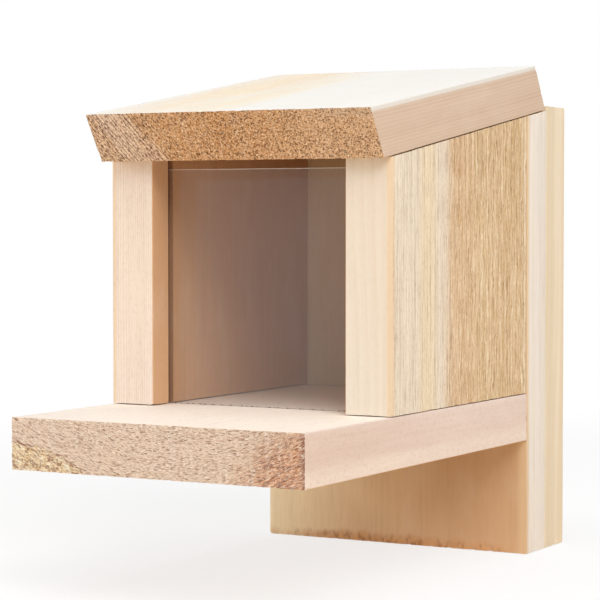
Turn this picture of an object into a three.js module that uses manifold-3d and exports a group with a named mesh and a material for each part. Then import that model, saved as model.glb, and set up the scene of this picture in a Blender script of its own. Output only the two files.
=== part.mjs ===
// Squirrel feeder box: six softwood boards, a clear front pane and a lid hinged at the back.
// Millimetres, +Z up. The front looks towards -Y and the wall or trunk is the plane Y = 0.
// The origin is the middle of the rear face that is fastened to the wall.

import * as THREE from 'three';
import { mergeVertices } from 'three/addons/utils/BufferGeometryUtils.js';
import Module from 'manifold-3d';

const wasm = await Module();
wasm.setup();

const { degToRad } = THREE.MathUtils;

// Board stock
const boardWidth = 140;
const boardThickness = 22;
const edgeRadius = 0.5;
const outerEdgeRadius = 1.8;
const seam = 0.3;
const cutOverrun = 6;

// Box
const platformLength = 214;
const sideFrontHeight = 108;
const roofSlope = degToRad(9);
const backDrop = 54;
const backRise = 2;

// Lid
const lidLength = 170;
const lidEndBevel = degToRad(22.5);
const lidSetback = 2;

// Pane and the saw kerfs that hold it
const paneThickness = 2.4;
const paneDrop = 4;
const kerfSetback = 13;
const kerfDepth = 6.5;
const kerfClearance = 0.4;

// Butt hinges
const hingeLength = 30;
const hingeEdgeInset = 20;
const leafWidth = 16;
const leafThickness = 1.1;
const knuckleRadius = 2.25;
const knuckleCount = 3;
const pinRadius = 1;
const pinClearance = 0.3;
const pinStandout = 0.5;
const pinEase = 0.25;

// Screws: radii, lengths and the cross recess in each head
const screwBite = 28;
const screwTipCover = 4;
const deckScrew = {
  length: boardThickness + screwBite,
  shankRadius: 2.1,
  headRadius: 4,
  rimHeight: 0.4,
  tipLength: 5,
  recessSpan: 4.6,
  recessWidth: 1.1,
  recessDepth: 1.5,
  headSink: 0.4,
};
const boardScrew = { ...deckScrew, length: 2 * boardThickness - screwTipCover };
const hingeScrew = {
  length: 12,
  shankRadius: 1.3,
  headRadius: 2.5,
  rimHeight: 0.25,
  tipLength: 2.5,
  recessSpan: 2.8,
  recessWidth: 0.6,
  recessDepth: 0.8,
  headSink: 0.05,
};
const screwClearance = 0.3;

// Where the screws go
const floorScrewInset = 26;
const rearScrewLowRise = 42;
const rearScrewHighDrop = 32;
const platformScrewOffset = 30;
const boardScrewInset = 22;
const boardScrewLowRise = 27;
const boardScrewHighDrop = 40;
const hingeScrewInset = 6.5;

// Facets round each turned piece and round each eased edge
const screwFacets = 20;
const knuckleFacets = 32;
const edgeFacets = 4;
const sides = [{ name: 'left', sign: -1 }, { name: 'right', sign: 1 }];

// Places worked out from the sizes above
const halfWidth = boardWidth / 2;
const sideInner = halfWidth - boardThickness;
const sideMiddle = halfWidth - boardThickness / 2;

const mountingBoardFront = -boardThickness;
const innerBackRear = mountingBoardFront - seam;
const innerBackFront = innerBackRear - boardThickness;
const boxRear = innerBackFront - seam;
const sideFront = boxRear - boardWidth;

const roofRise = (innerBackRear - sideFront) * Math.tan(roofSlope);
const backHeight = backDrop + boardThickness + seam + sideFrontHeight + roofRise + backRise;
const backTop = backHeight / 2;
const backBottom = -backTop;
const platformBottom = backBottom + backDrop;
const platformTop = platformBottom + boardThickness;
const platformMiddle = platformBottom + boardThickness / 2;
const sideBottom = platformTop + seam;
const sideFrontTop = sideBottom + sideFrontHeight;

const kerfWidth = paneThickness + 2 * kerfClearance;
const kerfFront = sideFront + kerfSetback;
const paneWidth = 2 * (sideInner + kerfDepth - kerfClearance);
const paneHeight = sideFrontHeight - paneDrop;

const lidRear = mountingBoardFront - lidSetback;
const lidRearHeight = roofHeight(lidRear) + seam / Math.cos(roofSlope);
const endLean = roofSlope + lidEndBevel;
const hingeHeight = backTop + seam + knuckleRadius;
const hingeRise = hingeHeight - lidRearHeight;
const hingeDepth = lidRear + (knuckleRadius + seam - hingeRise * Math.sin(endLean)) / Math.cos(endLean);
const hingeMiddle = halfWidth - hingeEdgeInset - hingeLength / 2;
const plateStart = knuckleRadius + seam;
const plateMiddle = (plateStart + leafWidth) / 2;
const hingeInLid = {
  y: (hingeDepth - lidRear) * Math.cos(roofSlope) + hingeRise * Math.sin(roofSlope),
  z: hingeRise * Math.cos(roofSlope) - (hingeDepth - lidRear) * Math.sin(roofSlope),
};

/** Height of the side panels' sloping top at a depth y. */
function roofHeight(y) {
  return sideFrontTop + (y - sideFront) * Math.tan(roofSlope);
}

// Materials
function finish(color, roughness, metalness = 0) {
  return new THREE.MeshStandardMaterial({ color, roughness, metalness });
}

const finishes = {
  lidWood: () => finish(0xd9b48f, 0.8),
  platformWood: () => finish(0xe6cdb4, 0.75),
  sideWood: () => finish(0xe2cba0, 0.85),
  backWood: () => finish(0xe3cca2, 0.75),
  zinc: () => finish(0xb9bcc0, 0.35, 1),
  coatedSteel: () => finish(0x9a8a5c, 0.45, 0.9),
};

function clearPane() {
  const material = finish(0xdfe8ee, 0.05);
  material.transparent = true;
  material.opacity = 0.2;
  return material;
}

// Solids
/** A closed geometry as a solid that can be joined and cut. */
function toSolid(geometry) {
  const bare = geometry.clone();
  bare.deleteAttribute('normal');
  bare.deleteAttribute('uv');
  const merged = mergeVertices(bare);
  const corners = merged.index.array;
  const kept = [];
  for (let i = 0; i < corners.length; i += 3) {
    const [a, b, c] = corners.slice(i, i + 3);
    if (a !== b && b !== c && c !== a) kept.push(a, b, c);
  }
  return new wasm.Manifold(new wasm.Mesh({
    numProp: 3,
    vertProperties: new Float32Array(merged.attributes.position.array),
    triVerts: new Uint32Array(kept),
  }));
}

/** A solid as a geometry. */
function toGeometry(solid) {
  const { vertProperties, triVerts } = solid.getMesh();
  const geometry = new THREE.BufferGeometry();
  geometry.setAttribute('position', new THREE.BufferAttribute(vertProperties, 3));
  geometry.setIndex(new THREE.BufferAttribute(triVerts, 1));
  geometry.computeVertexNormals();
  return geometry;
}

const axisX = new THREE.Vector3(1, 0, 0);
const axisY = new THREE.Vector3(0, 1, 0);
const axisZ = new THREE.Vector3(0, 0, 1);

/** Turns a geometry so that its own axes lie along the three given directions. */
function turned(geometry, alongX, alongY, alongZ) {
  return geometry.applyMatrix4(new THREE.Matrix4().makeBasis(alongX, alongY, alongZ));
}

function polygon(points) {
  return new THREE.Shape(points.map(([x, y]) => new THREE.Vector2(x, y)));
}

function extruded(outline, depth) {
  return new THREE.ExtrudeGeometry(outline, { depth, bevelEnabled: false, curveSegments: edgeFacets / 2 });
}

/**
 * A length of board: width along X, thickness along Y, grain along Z. Its four long edges are
 * rounded, two by the face at Y = 0 and two by the far face.
 */
function boardStock(length, nearRadius = edgeRadius, farRadius = edgeRadius) {
  const near = halfWidth - nearRadius;
  const far = halfWidth - farRadius;
  const y = boardThickness - farRadius;
  const turn = Math.PI / 2;
  const outline = new THREE.Shape();
  outline.absarc(near, nearRadius, nearRadius, -turn, 0);
  outline.absarc(far, y, farRadius, 0, turn);
  outline.absarc(-far, y, farRadius, turn, 2 * turn);
  outline.absarc(-near, nearRadius, nearRadius, 2 * turn, 3 * turn);
  return extruded(outline, length);
}

/** A prism across the whole box from an outline in Y and Z. */
function acrossBox(outline) {
  const span = boardWidth + 2 * cutOverrun;
  const prism = turned(extruded(polygon(outline), span), axisY, axisZ, axisX);
  return toSolid(prism.translate(-span / 2, 0, 0));
}

/** All that lies above the sloping tops of the side panels. */
function aboveRoofLine() {
  const front = sideFront - cutOverrun;
  const rear = innerBackRear + cutOverrun;
  const high = backTop + cutOverrun + boardThickness;
  return acrossBox([[front, roofHeight(front)], [rear, roofHeight(rear)], [rear, high], [front, high]]);
}

// Screws
/** Outline of a countersunk screw grown by a clearance, from its tip up to its head's top. */
function screwOutline(size, grow, headRise) {
  const shank = size.shankRadius + grow;
  const head = size.headRadius + grow;
  const rimBottom = -size.rimHeight;
  const coneBottom = rimBottom - (size.headRadius - size.shankRadius);
  return [
    [0, -size.length - grow],
    [shank, size.tipLength - size.length],
    [shank, coneBottom],
    [head, rimBottom],
    [head, headRise],
    [0, headRise],
  ].map(([radius, height]) => new THREE.Vector2(radius, height));
}

function screwTurning(size, grow, headRise) {
  return turned(new THREE.LatheGeometry(screwOutline(size, grow, headRise), screwFacets), axisX, axisZ,
    axisY.clone().negate());
}

function recessBar(spanX, spanY, size) {
  const bar = new THREE.BoxGeometry(spanX, spanY, 2 * size.recessDepth);
  return toSolid(bar);
}

function screwGeometry(size) {
  const cross = recessBar(size.recessSpan, size.recessWidth, size)
    .add(recessBar(size.recessWidth, size.recessSpan, size));
  return toGeometry(toSolid(screwTurning(size, 0, 0)).subtract(cross));
}

/** A screw whose head lies sunk in a surface at a point, its shank along a direction. */
function screw(name, size, point, direction) {
  const mesh = new THREE.Mesh(screwGeometry(size), finishes[size === hingeScrew ? 'zinc' : 'coatedSteel']());
  mesh.name = name;
  mesh.userData.size = size;
  mesh.quaternion.setFromUnitVectors(axisZ.clone().negate(), direction);
  mesh.position.copy(point).addScaledVector(direction, size.headSink);
  return mesh;
}

/** Cuts a clearance hole for each screw out of a solid that stands in a frame's own axes. */
function drilled(solid, frame, screws) {
  const toFrame = frame.matrixWorld.clone().invert();
  return screws.reduce((rest, one) => {
    const { size } = one.userData;
    const hole = screwTurning(size, screwClearance, size.headSink + cutOverrun);
    return rest.subtract(toSolid(hole.applyMatrix4(toFrame.clone().multiply(one.matrixWorld))));
  }, solid);
}

const up = axisZ;
const down = axisZ.clone().negate();
const forward = axisY.clone().negate();

/** Screws up through the platform into the bottom of each side panel. */
function floorScrews() {
  const places = [['front', sideFront + floorScrewInset], ['rear', boxRear - floorScrewInset]];
  return sides.flatMap(({ name, sign }) => places.map(([place, y]) => screw(
    `floor_screw_${name}_${place}`, deckScrew, new THREE.Vector3(sign * sideMiddle, y, platformBottom), up,
  )));
}

/** Screws through the inner back board into the rear edge of each side panel. */
function sideRearScrews() {
  const places = [['low', platformTop + rearScrewLowRise], ['high', roofHeight(boxRear) - rearScrewHighDrop]];
  return sides.flatMap(({ name, sign }) => places.map(([place, z]) => screw(
    `rear_screw_${name}_${place}`, deckScrew, new THREE.Vector3(sign * sideMiddle, innerBackRear, z), forward,
  )));
}

/** Screws through the inner back board into the rear end of the platform. */
function platformRearScrews() {
  return sides.map(({ name, sign }) => screw(
    `platform_screw_${name}`, deckScrew,
    new THREE.Vector3(sign * platformScrewOffset, innerBackRear, platformMiddle), forward,
  ));
}

/** Screws through the mounting board into the inner back board. */
function mountingBoardScrews() {
  const places = [['low', backBottom + boardScrewLowRise], ['high', backTop - boardScrewHighDrop]];
  const x = halfWidth - boardScrewInset;
  return sides.flatMap(({ name, sign }) => places.map(([place, z]) => screw(
    `mounting_screw_${name}_${place}`, boardScrew, new THREE.Vector3(sign * x, 0, z), forward,
  )));
}

// Hinges. A leaf's own frame has the pin along X and the plate reaching out along Y.
function rodAlongX(radius, length, facets) {
  return new THREE.CylinderGeometry(radius, radius, length, facets).rotateZ(Math.PI / 2);
}

/** Places along the pin of the knuckles that belong to one leaf. */
function knucklesOf(leaf) {
  const pitch = hingeLength / knuckleCount;
  const places = Array.from({ length: knuckleCount }, (_, i) => (i + 0.5) * pitch - hingeLength / 2);
  return places.filter((_, i) => (i % 2 === 0) === (leaf === 'board'));
}

function leafSolid(leaf, screws, frame) {
  const knuckleLength = hingeLength / knuckleCount - seam;
  const plateHeight = leafThickness / 2 - knuckleRadius;
  const plate = new THREE.BoxGeometry(hingeLength, leafWidth - plateStart, leafThickness);
  let solid = toSolid(plate.translate(0, plateMiddle, plateHeight));
  for (const x of knucklesOf(leaf)) {
    const tab = new THREE.BoxGeometry(knuckleLength, plateMiddle, leafThickness);
    const barrel = rodAlongX(knuckleRadius, knuckleLength, knuckleFacets);
    solid = solid.add(toSolid(tab.translate(x, plateMiddle / 2, plateHeight)))
      .add(toSolid(barrel.translate(x, 0, 0)));
  }
  const bore = rodAlongX(pinRadius + pinClearance, hingeLength + 2 * cutOverrun, knuckleFacets);
  return drilled(solid.subtract(toSolid(bore)), frame, screws);
}

/** One leaf with its two screws, turned to the face that it lies on. */
function hingeLeaf(side, leaf) {
  const frame = new THREE.Group();
  frame.position.x = side.sign * hingeMiddle;
  const point = (x) => new THREE.Vector3(x, plateMiddle, leafThickness - knuckleRadius);
  const places = [['outer', side.sign], ['inner', -side.sign]];
  const x = hingeLength / 2 - hingeScrewInset;
  const flip = leaf === 'lid' ? -1 : 1;
  const screws = places.map(([place, sign]) => screw(
    `hinge_screw_${side.name}_${leaf}_${place}`, hingeScrew, point(flip * sign * x), down,
  ));
  if (leaf === 'lid') {
    frame.rotation.set(Math.PI / 2 + lidEndBevel, Math.PI, 0);
    frame.position.y = hingeInLid.y;
    frame.position.z = hingeInLid.z;
  } else {
    frame.position.y = hingeDepth;
    frame.position.z = hingeHeight;
  }
  frame.add(...screws);
  frame.updateMatrixWorld();
  const plate = new THREE.Mesh(toGeometry(leafSolid(leaf, screws, frame)), finishes.zinc());
  plate.name = `hinge_leaf_${side.name}_${leaf}`;
  frame.add(plate);
  frame.userData.screws = screws;
  return frame;
}

/** The pin of one hinge, with both ends eased. */
function hingePin(side) {
  const half = hingeLength / 2 + pinStandout;
  const outline = [
    [0, -half], [pinRadius - pinEase, -half], [pinRadius, pinEase - half],
    [pinRadius, half - pinEase], [pinRadius - pinEase, half], [0, half],
  ].map(([radius, height]) => new THREE.Vector2(radius, height));
  const pin = new THREE.LatheGeometry(outline, screwFacets).rotateZ(Math.PI / 2);
  const mesh = new THREE.Mesh(toGeometry(toSolid(pin)), finishes.zinc());
  mesh.name = `hinge_pin_${side.name}`;
  mesh.position.set(side.sign * hingeMiddle, hingeDepth, hingeHeight);
  return mesh;
}

// Boards
function board(name, solid, material) {
  const mesh = new THREE.Mesh(toGeometry(solid), material);
  mesh.name = name;
  return mesh;
}

/** The floor of the box, which runs on forward as a ledge. */
function platform(frame, screws) {
  const stock = turned(boardStock(platformLength), axisX, axisZ, forward);
  const solid = toSolid(stock.translate(0, boxRear, platformBottom));
  return board('platform', drilled(solid, frame, screws), finishes.platformWood());
}

/** A side panel with its sloping top and, on its inner face, the kerf for the pane. */
function sidePanel(side, frame, screws) {
  const blankHeight = roofHeight(boxRear) - sideBottom + cutOverrun;
  const edges = side.sign > 0 ? [outerEdgeRadius, edgeRadius] : [edgeRadius, outerEdgeRadius];
  const stock = turned(boardStock(blankHeight, ...edges), axisY, axisX.clone().negate(), axisZ);
  const outerFace = side.sign > 0 ? halfWidth : -sideInner;
  const panel = toSolid(stock.translate(outerFace, (sideFront + boxRear) / 2, sideBottom));
  const kerfHeight = backHeight + 2 * cutOverrun;
  const kerf = new THREE.BoxGeometry(2 * (sideInner + kerfDepth), kerfWidth, kerfHeight);
  const cut = toSolid(kerf.translate(0, kerfFront + kerfWidth / 2, 0));
  const shaped = panel.subtract(aboveRoofLine()).subtract(cut);
  return board(`side_panel_${side.name}`, drilled(shaped, frame, screws), finishes.sideWood());
}

/** The board that closes the box, cut along the slope of the side panels. */
function innerBack(frame, screws) {
  const stock = boardStock(backHeight).translate(0, innerBackFront, backBottom);
  const shaped = toSolid(stock).subtract(aboveRoofLine());
  return board('inner_back_board', drilled(shaped, frame, screws), finishes.backWood());
}

/** The board behind it, whose rear face goes against the wall. */
function mountingBoard(frame, screws) {
  const stock = boardStock(backHeight).translate(0, mountingBoardFront, backBottom);
  return board('mounting_board', drilled(toSolid(stock), frame, screws), finishes.backWood());
}

/** The lid in its own frame: Y = 0 and Z = 0 at its lower rear edge, running towards -Y. */
function lidBoard(frame, screws) {
  const shift = boardThickness * Math.tan(lidEndBevel);
  const outline = [
    [-lidLength, 0], [0, 0], [-shift, boardThickness], [-lidLength - shift, boardThickness],
  ];
  const stock = turned(boardStock(lidLength + shift + cutOverrun), axisX, axisZ, forward);
  const shaped = toSolid(stock).intersect(acrossBox(outline));
  return board('lid', drilled(shaped, frame, screws), finishes.lidWood());
}

/** The clear pane, standing on the platform in the two kerfs. */
function frontPane() {
  const pane = new THREE.BoxGeometry(paneWidth, paneThickness, paneHeight);
  const mesh = new THREE.Mesh(pane, clearPane());
  mesh.name = 'front_pane';
  mesh.position.set(0, kerfFront + kerfWidth / 2, sideBottom + paneHeight / 2);
  return mesh;
}

// Assembly
const feeder = new THREE.Group();
const lid = new THREE.Group();
lid.position.set(0, lidRear, lidRearHeight);
lid.rotation.x = roofSlope;
feeder.add(lid);

const boardLeaves = sides.map((side) => hingeLeaf(side, 'board'));
const lidLeaves = sides.map((side) => hingeLeaf(side, 'lid'));
const intoSides = floorScrews();
const intoSideRears = sideRearScrews();
const intoPlatform = platformRearScrews();
const throughMounting = mountingBoardScrews();
const screwsOf = (leaves) => leaves.flatMap((leaf) => leaf.userData.screws);
const onSide = (screws, side) => screws.filter((one) => Math.sign(one.position.x) === side.sign);

lid.add(...lidLeaves);
feeder.add(...boardLeaves, ...intoSides, ...intoSideRears, ...intoPlatform, ...throughMounting);
feeder.updateMatrixWorld(true);

lid.add(lidBoard(lid, screwsOf(lidLeaves)));
feeder.add(
  platform(feeder, [...intoSides, ...intoPlatform]),
  ...sides.map((side) => sidePanel(side, feeder, onSide([...intoSides, ...intoSideRears], side))),
  innerBack(feeder, [...intoSideRears, ...intoPlatform, ...throughMounting]),
  mountingBoard(feeder, [...throughMounting, ...screwsOf(boardLeaves)]),
  frontPane(),
  ...sides.map(hingePin),
);

export default feeder;
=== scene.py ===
"""Looks of the squirrel feeder box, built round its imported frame.

Meshes are in metres. A board's pattern is written in millimetres of its own stock: across its
width from the middle, through its thickness from one face, and along its grain from one end.
"""

import logging
import math
from dataclasses import dataclass, field, replace
from enum import Enum
from typing import Any, Callable, Optional, Sequence, Union

import bmesh
import bpy
from mathutils import Matrix, Vector, noise


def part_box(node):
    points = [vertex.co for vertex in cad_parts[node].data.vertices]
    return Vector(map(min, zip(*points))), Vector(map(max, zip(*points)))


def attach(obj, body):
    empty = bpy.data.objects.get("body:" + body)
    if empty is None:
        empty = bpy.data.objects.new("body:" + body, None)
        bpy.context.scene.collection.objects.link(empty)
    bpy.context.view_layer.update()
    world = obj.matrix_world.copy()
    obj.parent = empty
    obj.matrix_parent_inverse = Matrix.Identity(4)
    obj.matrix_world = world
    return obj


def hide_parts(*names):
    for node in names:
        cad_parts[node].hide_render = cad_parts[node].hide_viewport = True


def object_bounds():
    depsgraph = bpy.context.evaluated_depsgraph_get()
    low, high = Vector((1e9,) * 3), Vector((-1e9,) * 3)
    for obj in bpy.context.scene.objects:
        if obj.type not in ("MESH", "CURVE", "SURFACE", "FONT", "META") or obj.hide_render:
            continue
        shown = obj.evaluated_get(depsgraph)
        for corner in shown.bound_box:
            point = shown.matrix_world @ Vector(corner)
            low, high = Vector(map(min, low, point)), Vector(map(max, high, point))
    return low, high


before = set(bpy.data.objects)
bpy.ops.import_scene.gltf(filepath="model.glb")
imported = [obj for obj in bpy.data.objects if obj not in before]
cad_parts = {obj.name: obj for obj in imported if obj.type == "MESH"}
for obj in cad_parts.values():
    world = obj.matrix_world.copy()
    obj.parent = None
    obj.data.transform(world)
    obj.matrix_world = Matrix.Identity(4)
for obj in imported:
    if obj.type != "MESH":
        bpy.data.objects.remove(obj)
cad_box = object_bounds()

log = logging.getLogger("feeder")

MM = 0.001
TURN = 2 * math.pi
FAR = 1e4
TINY = 1e-7
NOISE_MEAN = 0.5
UP = Vector((0, 0, 1))
BACK = Vector((0, 1, 0))
ACROSS = Vector((1, 0, 0))
SIDES = ("left", "right")

Number = Union["Wire", float]
Pair = tuple[float, float]
Triple = tuple[float, float, float]
Paint = tuple[float, float, float, float]


def tone(red: int, green: int, blue: int) -> Paint:
    """A screen colour as the linear colour that a shader takes.

    Args:
        red: The red channel, from 0 to 255.
        green: The green channel.
        blue: The blue channel.

    Returns:
        The linear colour, with its alpha.
    """
    def linear(value: float) -> float:
        """One channel from the screen's curve to linear light."""
        share = value / 255
        return share / 12.92 if share <= 0.04045 else ((share + 0.055) / 1.055) ** 2.4

    return linear(red), linear(green), linear(blue), 1.0


# Shader building
class Wire:
    """A node's output that carries a number. Python's operators on it add Math nodes."""

    def __init__(self, graph: "Graph", socket: bpy.types.NodeSocket) -> None:
        """Keeps the graph and the output socket."""
        self.graph = graph
        self.socket = socket

    def _math(self, operation: str, *values: Number) -> "Wire":
        """The output of a Math node on the given values."""
        node = self.graph.node("ShaderNodeMath", {"operation": operation}, dict(enumerate(values)))
        return Wire(self.graph, node.outputs[0])

    def __add__(self, other: Number) -> "Wire":
        """Sum."""
        return self._math("ADD", self, other)

    def __radd__(self, other: float) -> "Wire":
        """Sum with a number on the left."""
        return self._math("ADD", other, self)

    def __sub__(self, other: Number) -> "Wire":
        """Difference."""
        return self._math("SUBTRACT", self, other)

    def __rsub__(self, other: float) -> "Wire":
        """Difference from a number."""
        return self._math("SUBTRACT", other, self)

    def __mul__(self, other: Number) -> "Wire":
        """Product."""
        return self._math("MULTIPLY", self, other)

    def __rmul__(self, other: float) -> "Wire":
        """Product with a number on the left."""
        return self._math("MULTIPLY", other, self)

    def __truediv__(self, other: Number) -> "Wire":
        """Quotient."""
        return self._math("DIVIDE", self, other)

    def __rtruediv__(self, other: float) -> "Wire":
        """Quotient of a number."""
        return self._math("DIVIDE", other, self)

    def __pow__(self, other: Number) -> "Wire":
        """Power."""
        return self._math("POWER", self, other)

    def fraction(self) -> "Wire":
        """What is left over the whole number below."""
        return self._math("FRACT", self)

    def whole(self) -> "Wire":
        """The whole number below."""
        return self._math("FLOOR", self)

    def angle_from(self, other: Number) -> "Wire":
        """The angle of the point whose Y is this value and whose X is the other."""
        return self._math("ARCTAN2", self, other)

    def larger(self, other: Number) -> "Wire":
        """The larger of two values."""
        return self._math("MAXIMUM", self, other)

    def above(self) -> "Wire":
        """How far a noise's value lies above its mean, or 0."""
        return (self - NOISE_MEAN).larger(0.0)

    def below(self) -> "Wire":
        """How far a noise's value lies below its mean, or 0."""
        return (NOISE_MEAN - self).larger(0.0)

    def line(self, ends: Pair) -> "Wire":
        """A straight line, from what it gives where the value is 0 and what it gains up to 1."""
        return ends[0] + self * ends[1]

    def ramp(self, low: float, high: float) -> "Wire":
        """A smooth step from 0 at low to 1 at high, which may be the smaller of the two."""
        node = self.graph.node(
            "ShaderNodeMapRange",
            {"interpolation_type": "SMOOTHSTEP"},
            {"Value": self, "From Min": low, "From Max": high},
        )
        return Wire(self.graph, node.outputs[0])


def weighed(wires: Sequence[Wire], weights: Sequence[float]) -> Wire:
    """The sum of some values, each times its weight."""
    first, *rest = [wire * weight for wire, weight in zip(wires, weights)]
    return sum(rest, first)


@dataclass(frozen=True)
class Grain:
    """A soft noise: the size of its grains along each axis, its octaves and how rough they make it."""

    cell: Triple
    octaves: float = 2.0
    rough: float = 0.5


class Graph:
    """The node tree of a material or of the world, which is built one node at a time."""

    def __init__(self, owner: Union[bpy.types.Material, bpy.types.World]) -> None:
        """Starts with an empty tree.

        Args:
            owner: The new material or world.
        """
        self.owner = owner
        self.owner.use_nodes = True
        self.tree = self.owner.node_tree
        self.tree.nodes.clear()

    def node(self, kind: str, settings: Optional[dict[str, Any]] = None,
             inputs: Optional[dict[Any, Any]] = None) -> bpy.types.Node:
        """Adds a node.

        Args:
            kind: The node's type.
            settings: Its own settings, which are set first.
            inputs: Its sockets by name or number, each with a value or a wire.

        Returns:
            The node.
        """
        made = self.tree.nodes.new(kind)
        for key, value in (settings or {}).items():
            setattr(made, key, value)
        for key, value in (inputs or {}).items():
            if isinstance(value, Wire):
                self.tree.links.new(value.socket, made.inputs[key])
            else:
                made.inputs[key].default_value = value
        return made

    def out(self, output: Union[int, str], kind: str, settings: Optional[dict[str, Any]] = None,
            inputs: Optional[dict[Any, Any]] = None) -> Wire:
        """Adds a node and returns one of its outputs as a wire."""
        return Wire(self, self.node(kind, settings, inputs).outputs[output])

    def place(self, frame_of_piece: Matrix) -> Wire:
        """The point on the piece in its own axes, in millimetres.

        Args:
            frame_of_piece: Those axes, as a matrix from them to the part's.

        Returns:
            A wire that carries the point.
        """
        point = self.out("Object", "ShaderNodeTexCoord")
        return self.out(0, "ShaderNodeMapping", {"vector_type": "TEXTURE"}, {
            "Vector": point,
            "Location": frame_of_piece.to_translation(),
            "Rotation": frame_of_piece.to_euler(),
            "Scale": (MM, MM, MM),
        })

    def split(self, vector: Wire) -> tuple[Wire, Wire, Wire]:
        """The three numbers of a vector."""
        outputs = self.node("ShaderNodeSeparateXYZ", inputs={0: vector}).outputs
        return Wire(self, outputs[0]), Wire(self, outputs[1]), Wire(self, outputs[2])

    def vector(self, x: Number, y: Number, z: Number) -> Wire:
        """A vector from three numbers."""
        return self.out(0, "ShaderNodeCombineXYZ", inputs={0: x, 1: y, 2: z})

    def stretched(self, vector: Wire, by: Triple) -> Wire:
        """A vector times another, axis by axis."""
        return self.out(0, "ShaderNodeVectorMath", {"operation": "MULTIPLY"}, {0: vector, 1: by})

    def noise(self, vector: Wire, grain: Grain, output: str = "Fac") -> Wire:
        """Soft noise that swings about its mean."""
        scaled = self.stretched(vector, tuple(1 / size for size in grain.cell))
        return self.out(output, "ShaderNodeTexNoise", None, {
            "Vector": scaled, "Scale": 1.0, "Detail": grain.octaves, "Roughness": grain.rough,
        })

    def cells(self, vector: Wire, cell: Triple) -> tuple[Wire, Wire]:
        """Cells scattered at random, of the given size along each axis.

        Args:
            vector: The point.
            cell: The cells' size.

        Returns:
            The distance from the nearest cell's middle, in cells, and that cell's own chance from 0 to 1.
        """
        scaled = self.stretched(vector, tuple(1 / size for size in cell))
        node = self.node("ShaderNodeTexVoronoi", None, {"Vector": scaled, "Scale": 1.0, "Randomness": 1.0})
        return Wire(self, node.outputs["Distance"]), self.split(Wire(self, node.outputs["Color"]))[0]

    def mix(self, share: Number, low: Any, high: Any) -> Wire:
        """Two colours mixed by a share."""
        return self.out(2, "ShaderNodeMix", {"data_type": "RGBA", "blend_type": "MIX", "clamp_factor": True},
                        {0: share, 6: low, 7: high})

    def bump(self, height: Wire) -> Wire:
        """A normal from a height in millimetres."""
        return self.out(0, "ShaderNodeBump", None, {"Height": height, "Strength": 1.0, "Distance": MM})

    def finish(self, shader: Wire) -> bpy.types.Material:
        """Ends a material's tree with a shader and returns the material."""
        self.node("ShaderNodeOutputMaterial", inputs={"Surface": shader})
        return self.owner

    def blended(self, share: Wire, first: Wire, second: Wire) -> Wire:
        """Two shaders mixed by a share.

        Args:
            share: How much of the second one shows, from 0 to 1.
            first: A shader.
            second: The other shader.

        Returns:
            The mixed shader.
        """
        both = self.node("ShaderNodeMixShader")
        for socket, wire in enumerate((share, first, second)):
            self.tree.links.new(wire.socket, both.inputs[socket])
        return Wire(self, both.outputs[0])

    def principled(self, inputs: dict[str, Any]) -> Wire:
        """The output of a Principled shader with the given sockets."""
        return self.out(0, "ShaderNodeBsdfPrincipled", inputs=inputs)


# Finishes
class Cut(Enum):
    """How a face of a board was made."""

    END = "end"
    SAWN = "sawn"
    PLANED = "planed"


@dataclass(frozen=True)
class StainOrLight:
    """A patch of another colour in a board, with soft ragged edges. It serves for real staining, and also for
    painted light and shade.

    The middle and the reach are millimetres across, through and along the board. Flecks are torn
    grains in it, dark and pale, and the rim is a dark line round it, with gaps. An edge is where a
    soft step starts and where it is full.
    """

    middle: Triple
    reach: Triple
    color: Paint
    strength: float = 1.0
    softness: float = 0.35
    rag: float = 0.25
    cuts: tuple[Cut, ...] = tuple(Cut)
    fleck: float = 0.0
    fleck_size: Pair = (1.4, 2.0)
    fleck_length: float = 4.0
    fleck_rough: float = 0.6
    dark: Paint = tone(120, 78, 48)
    dark_edge: Pair = (0.53, 0.60)
    pale: Paint = tone(255, 240, 208)
    pale_edge: Pair = (0.48, 0.40)
    rim: float = 0.0
    rim_outside: Pair = (1.05, 1.02)
    rim_inside: Pair = (0.98, 1.01)
    rim_gaps: Pair = (0.40, 0.56)


@dataclass(frozen=True)
class Band:
    """A run of rings of another colour, between two distances from the pith in millimetres."""

    inner: float
    outer: float
    color: Paint
    strength: float = 1.0
    softness: float = 4.0
    cuts: tuple[Cut, ...] = (Cut.END,)


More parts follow.
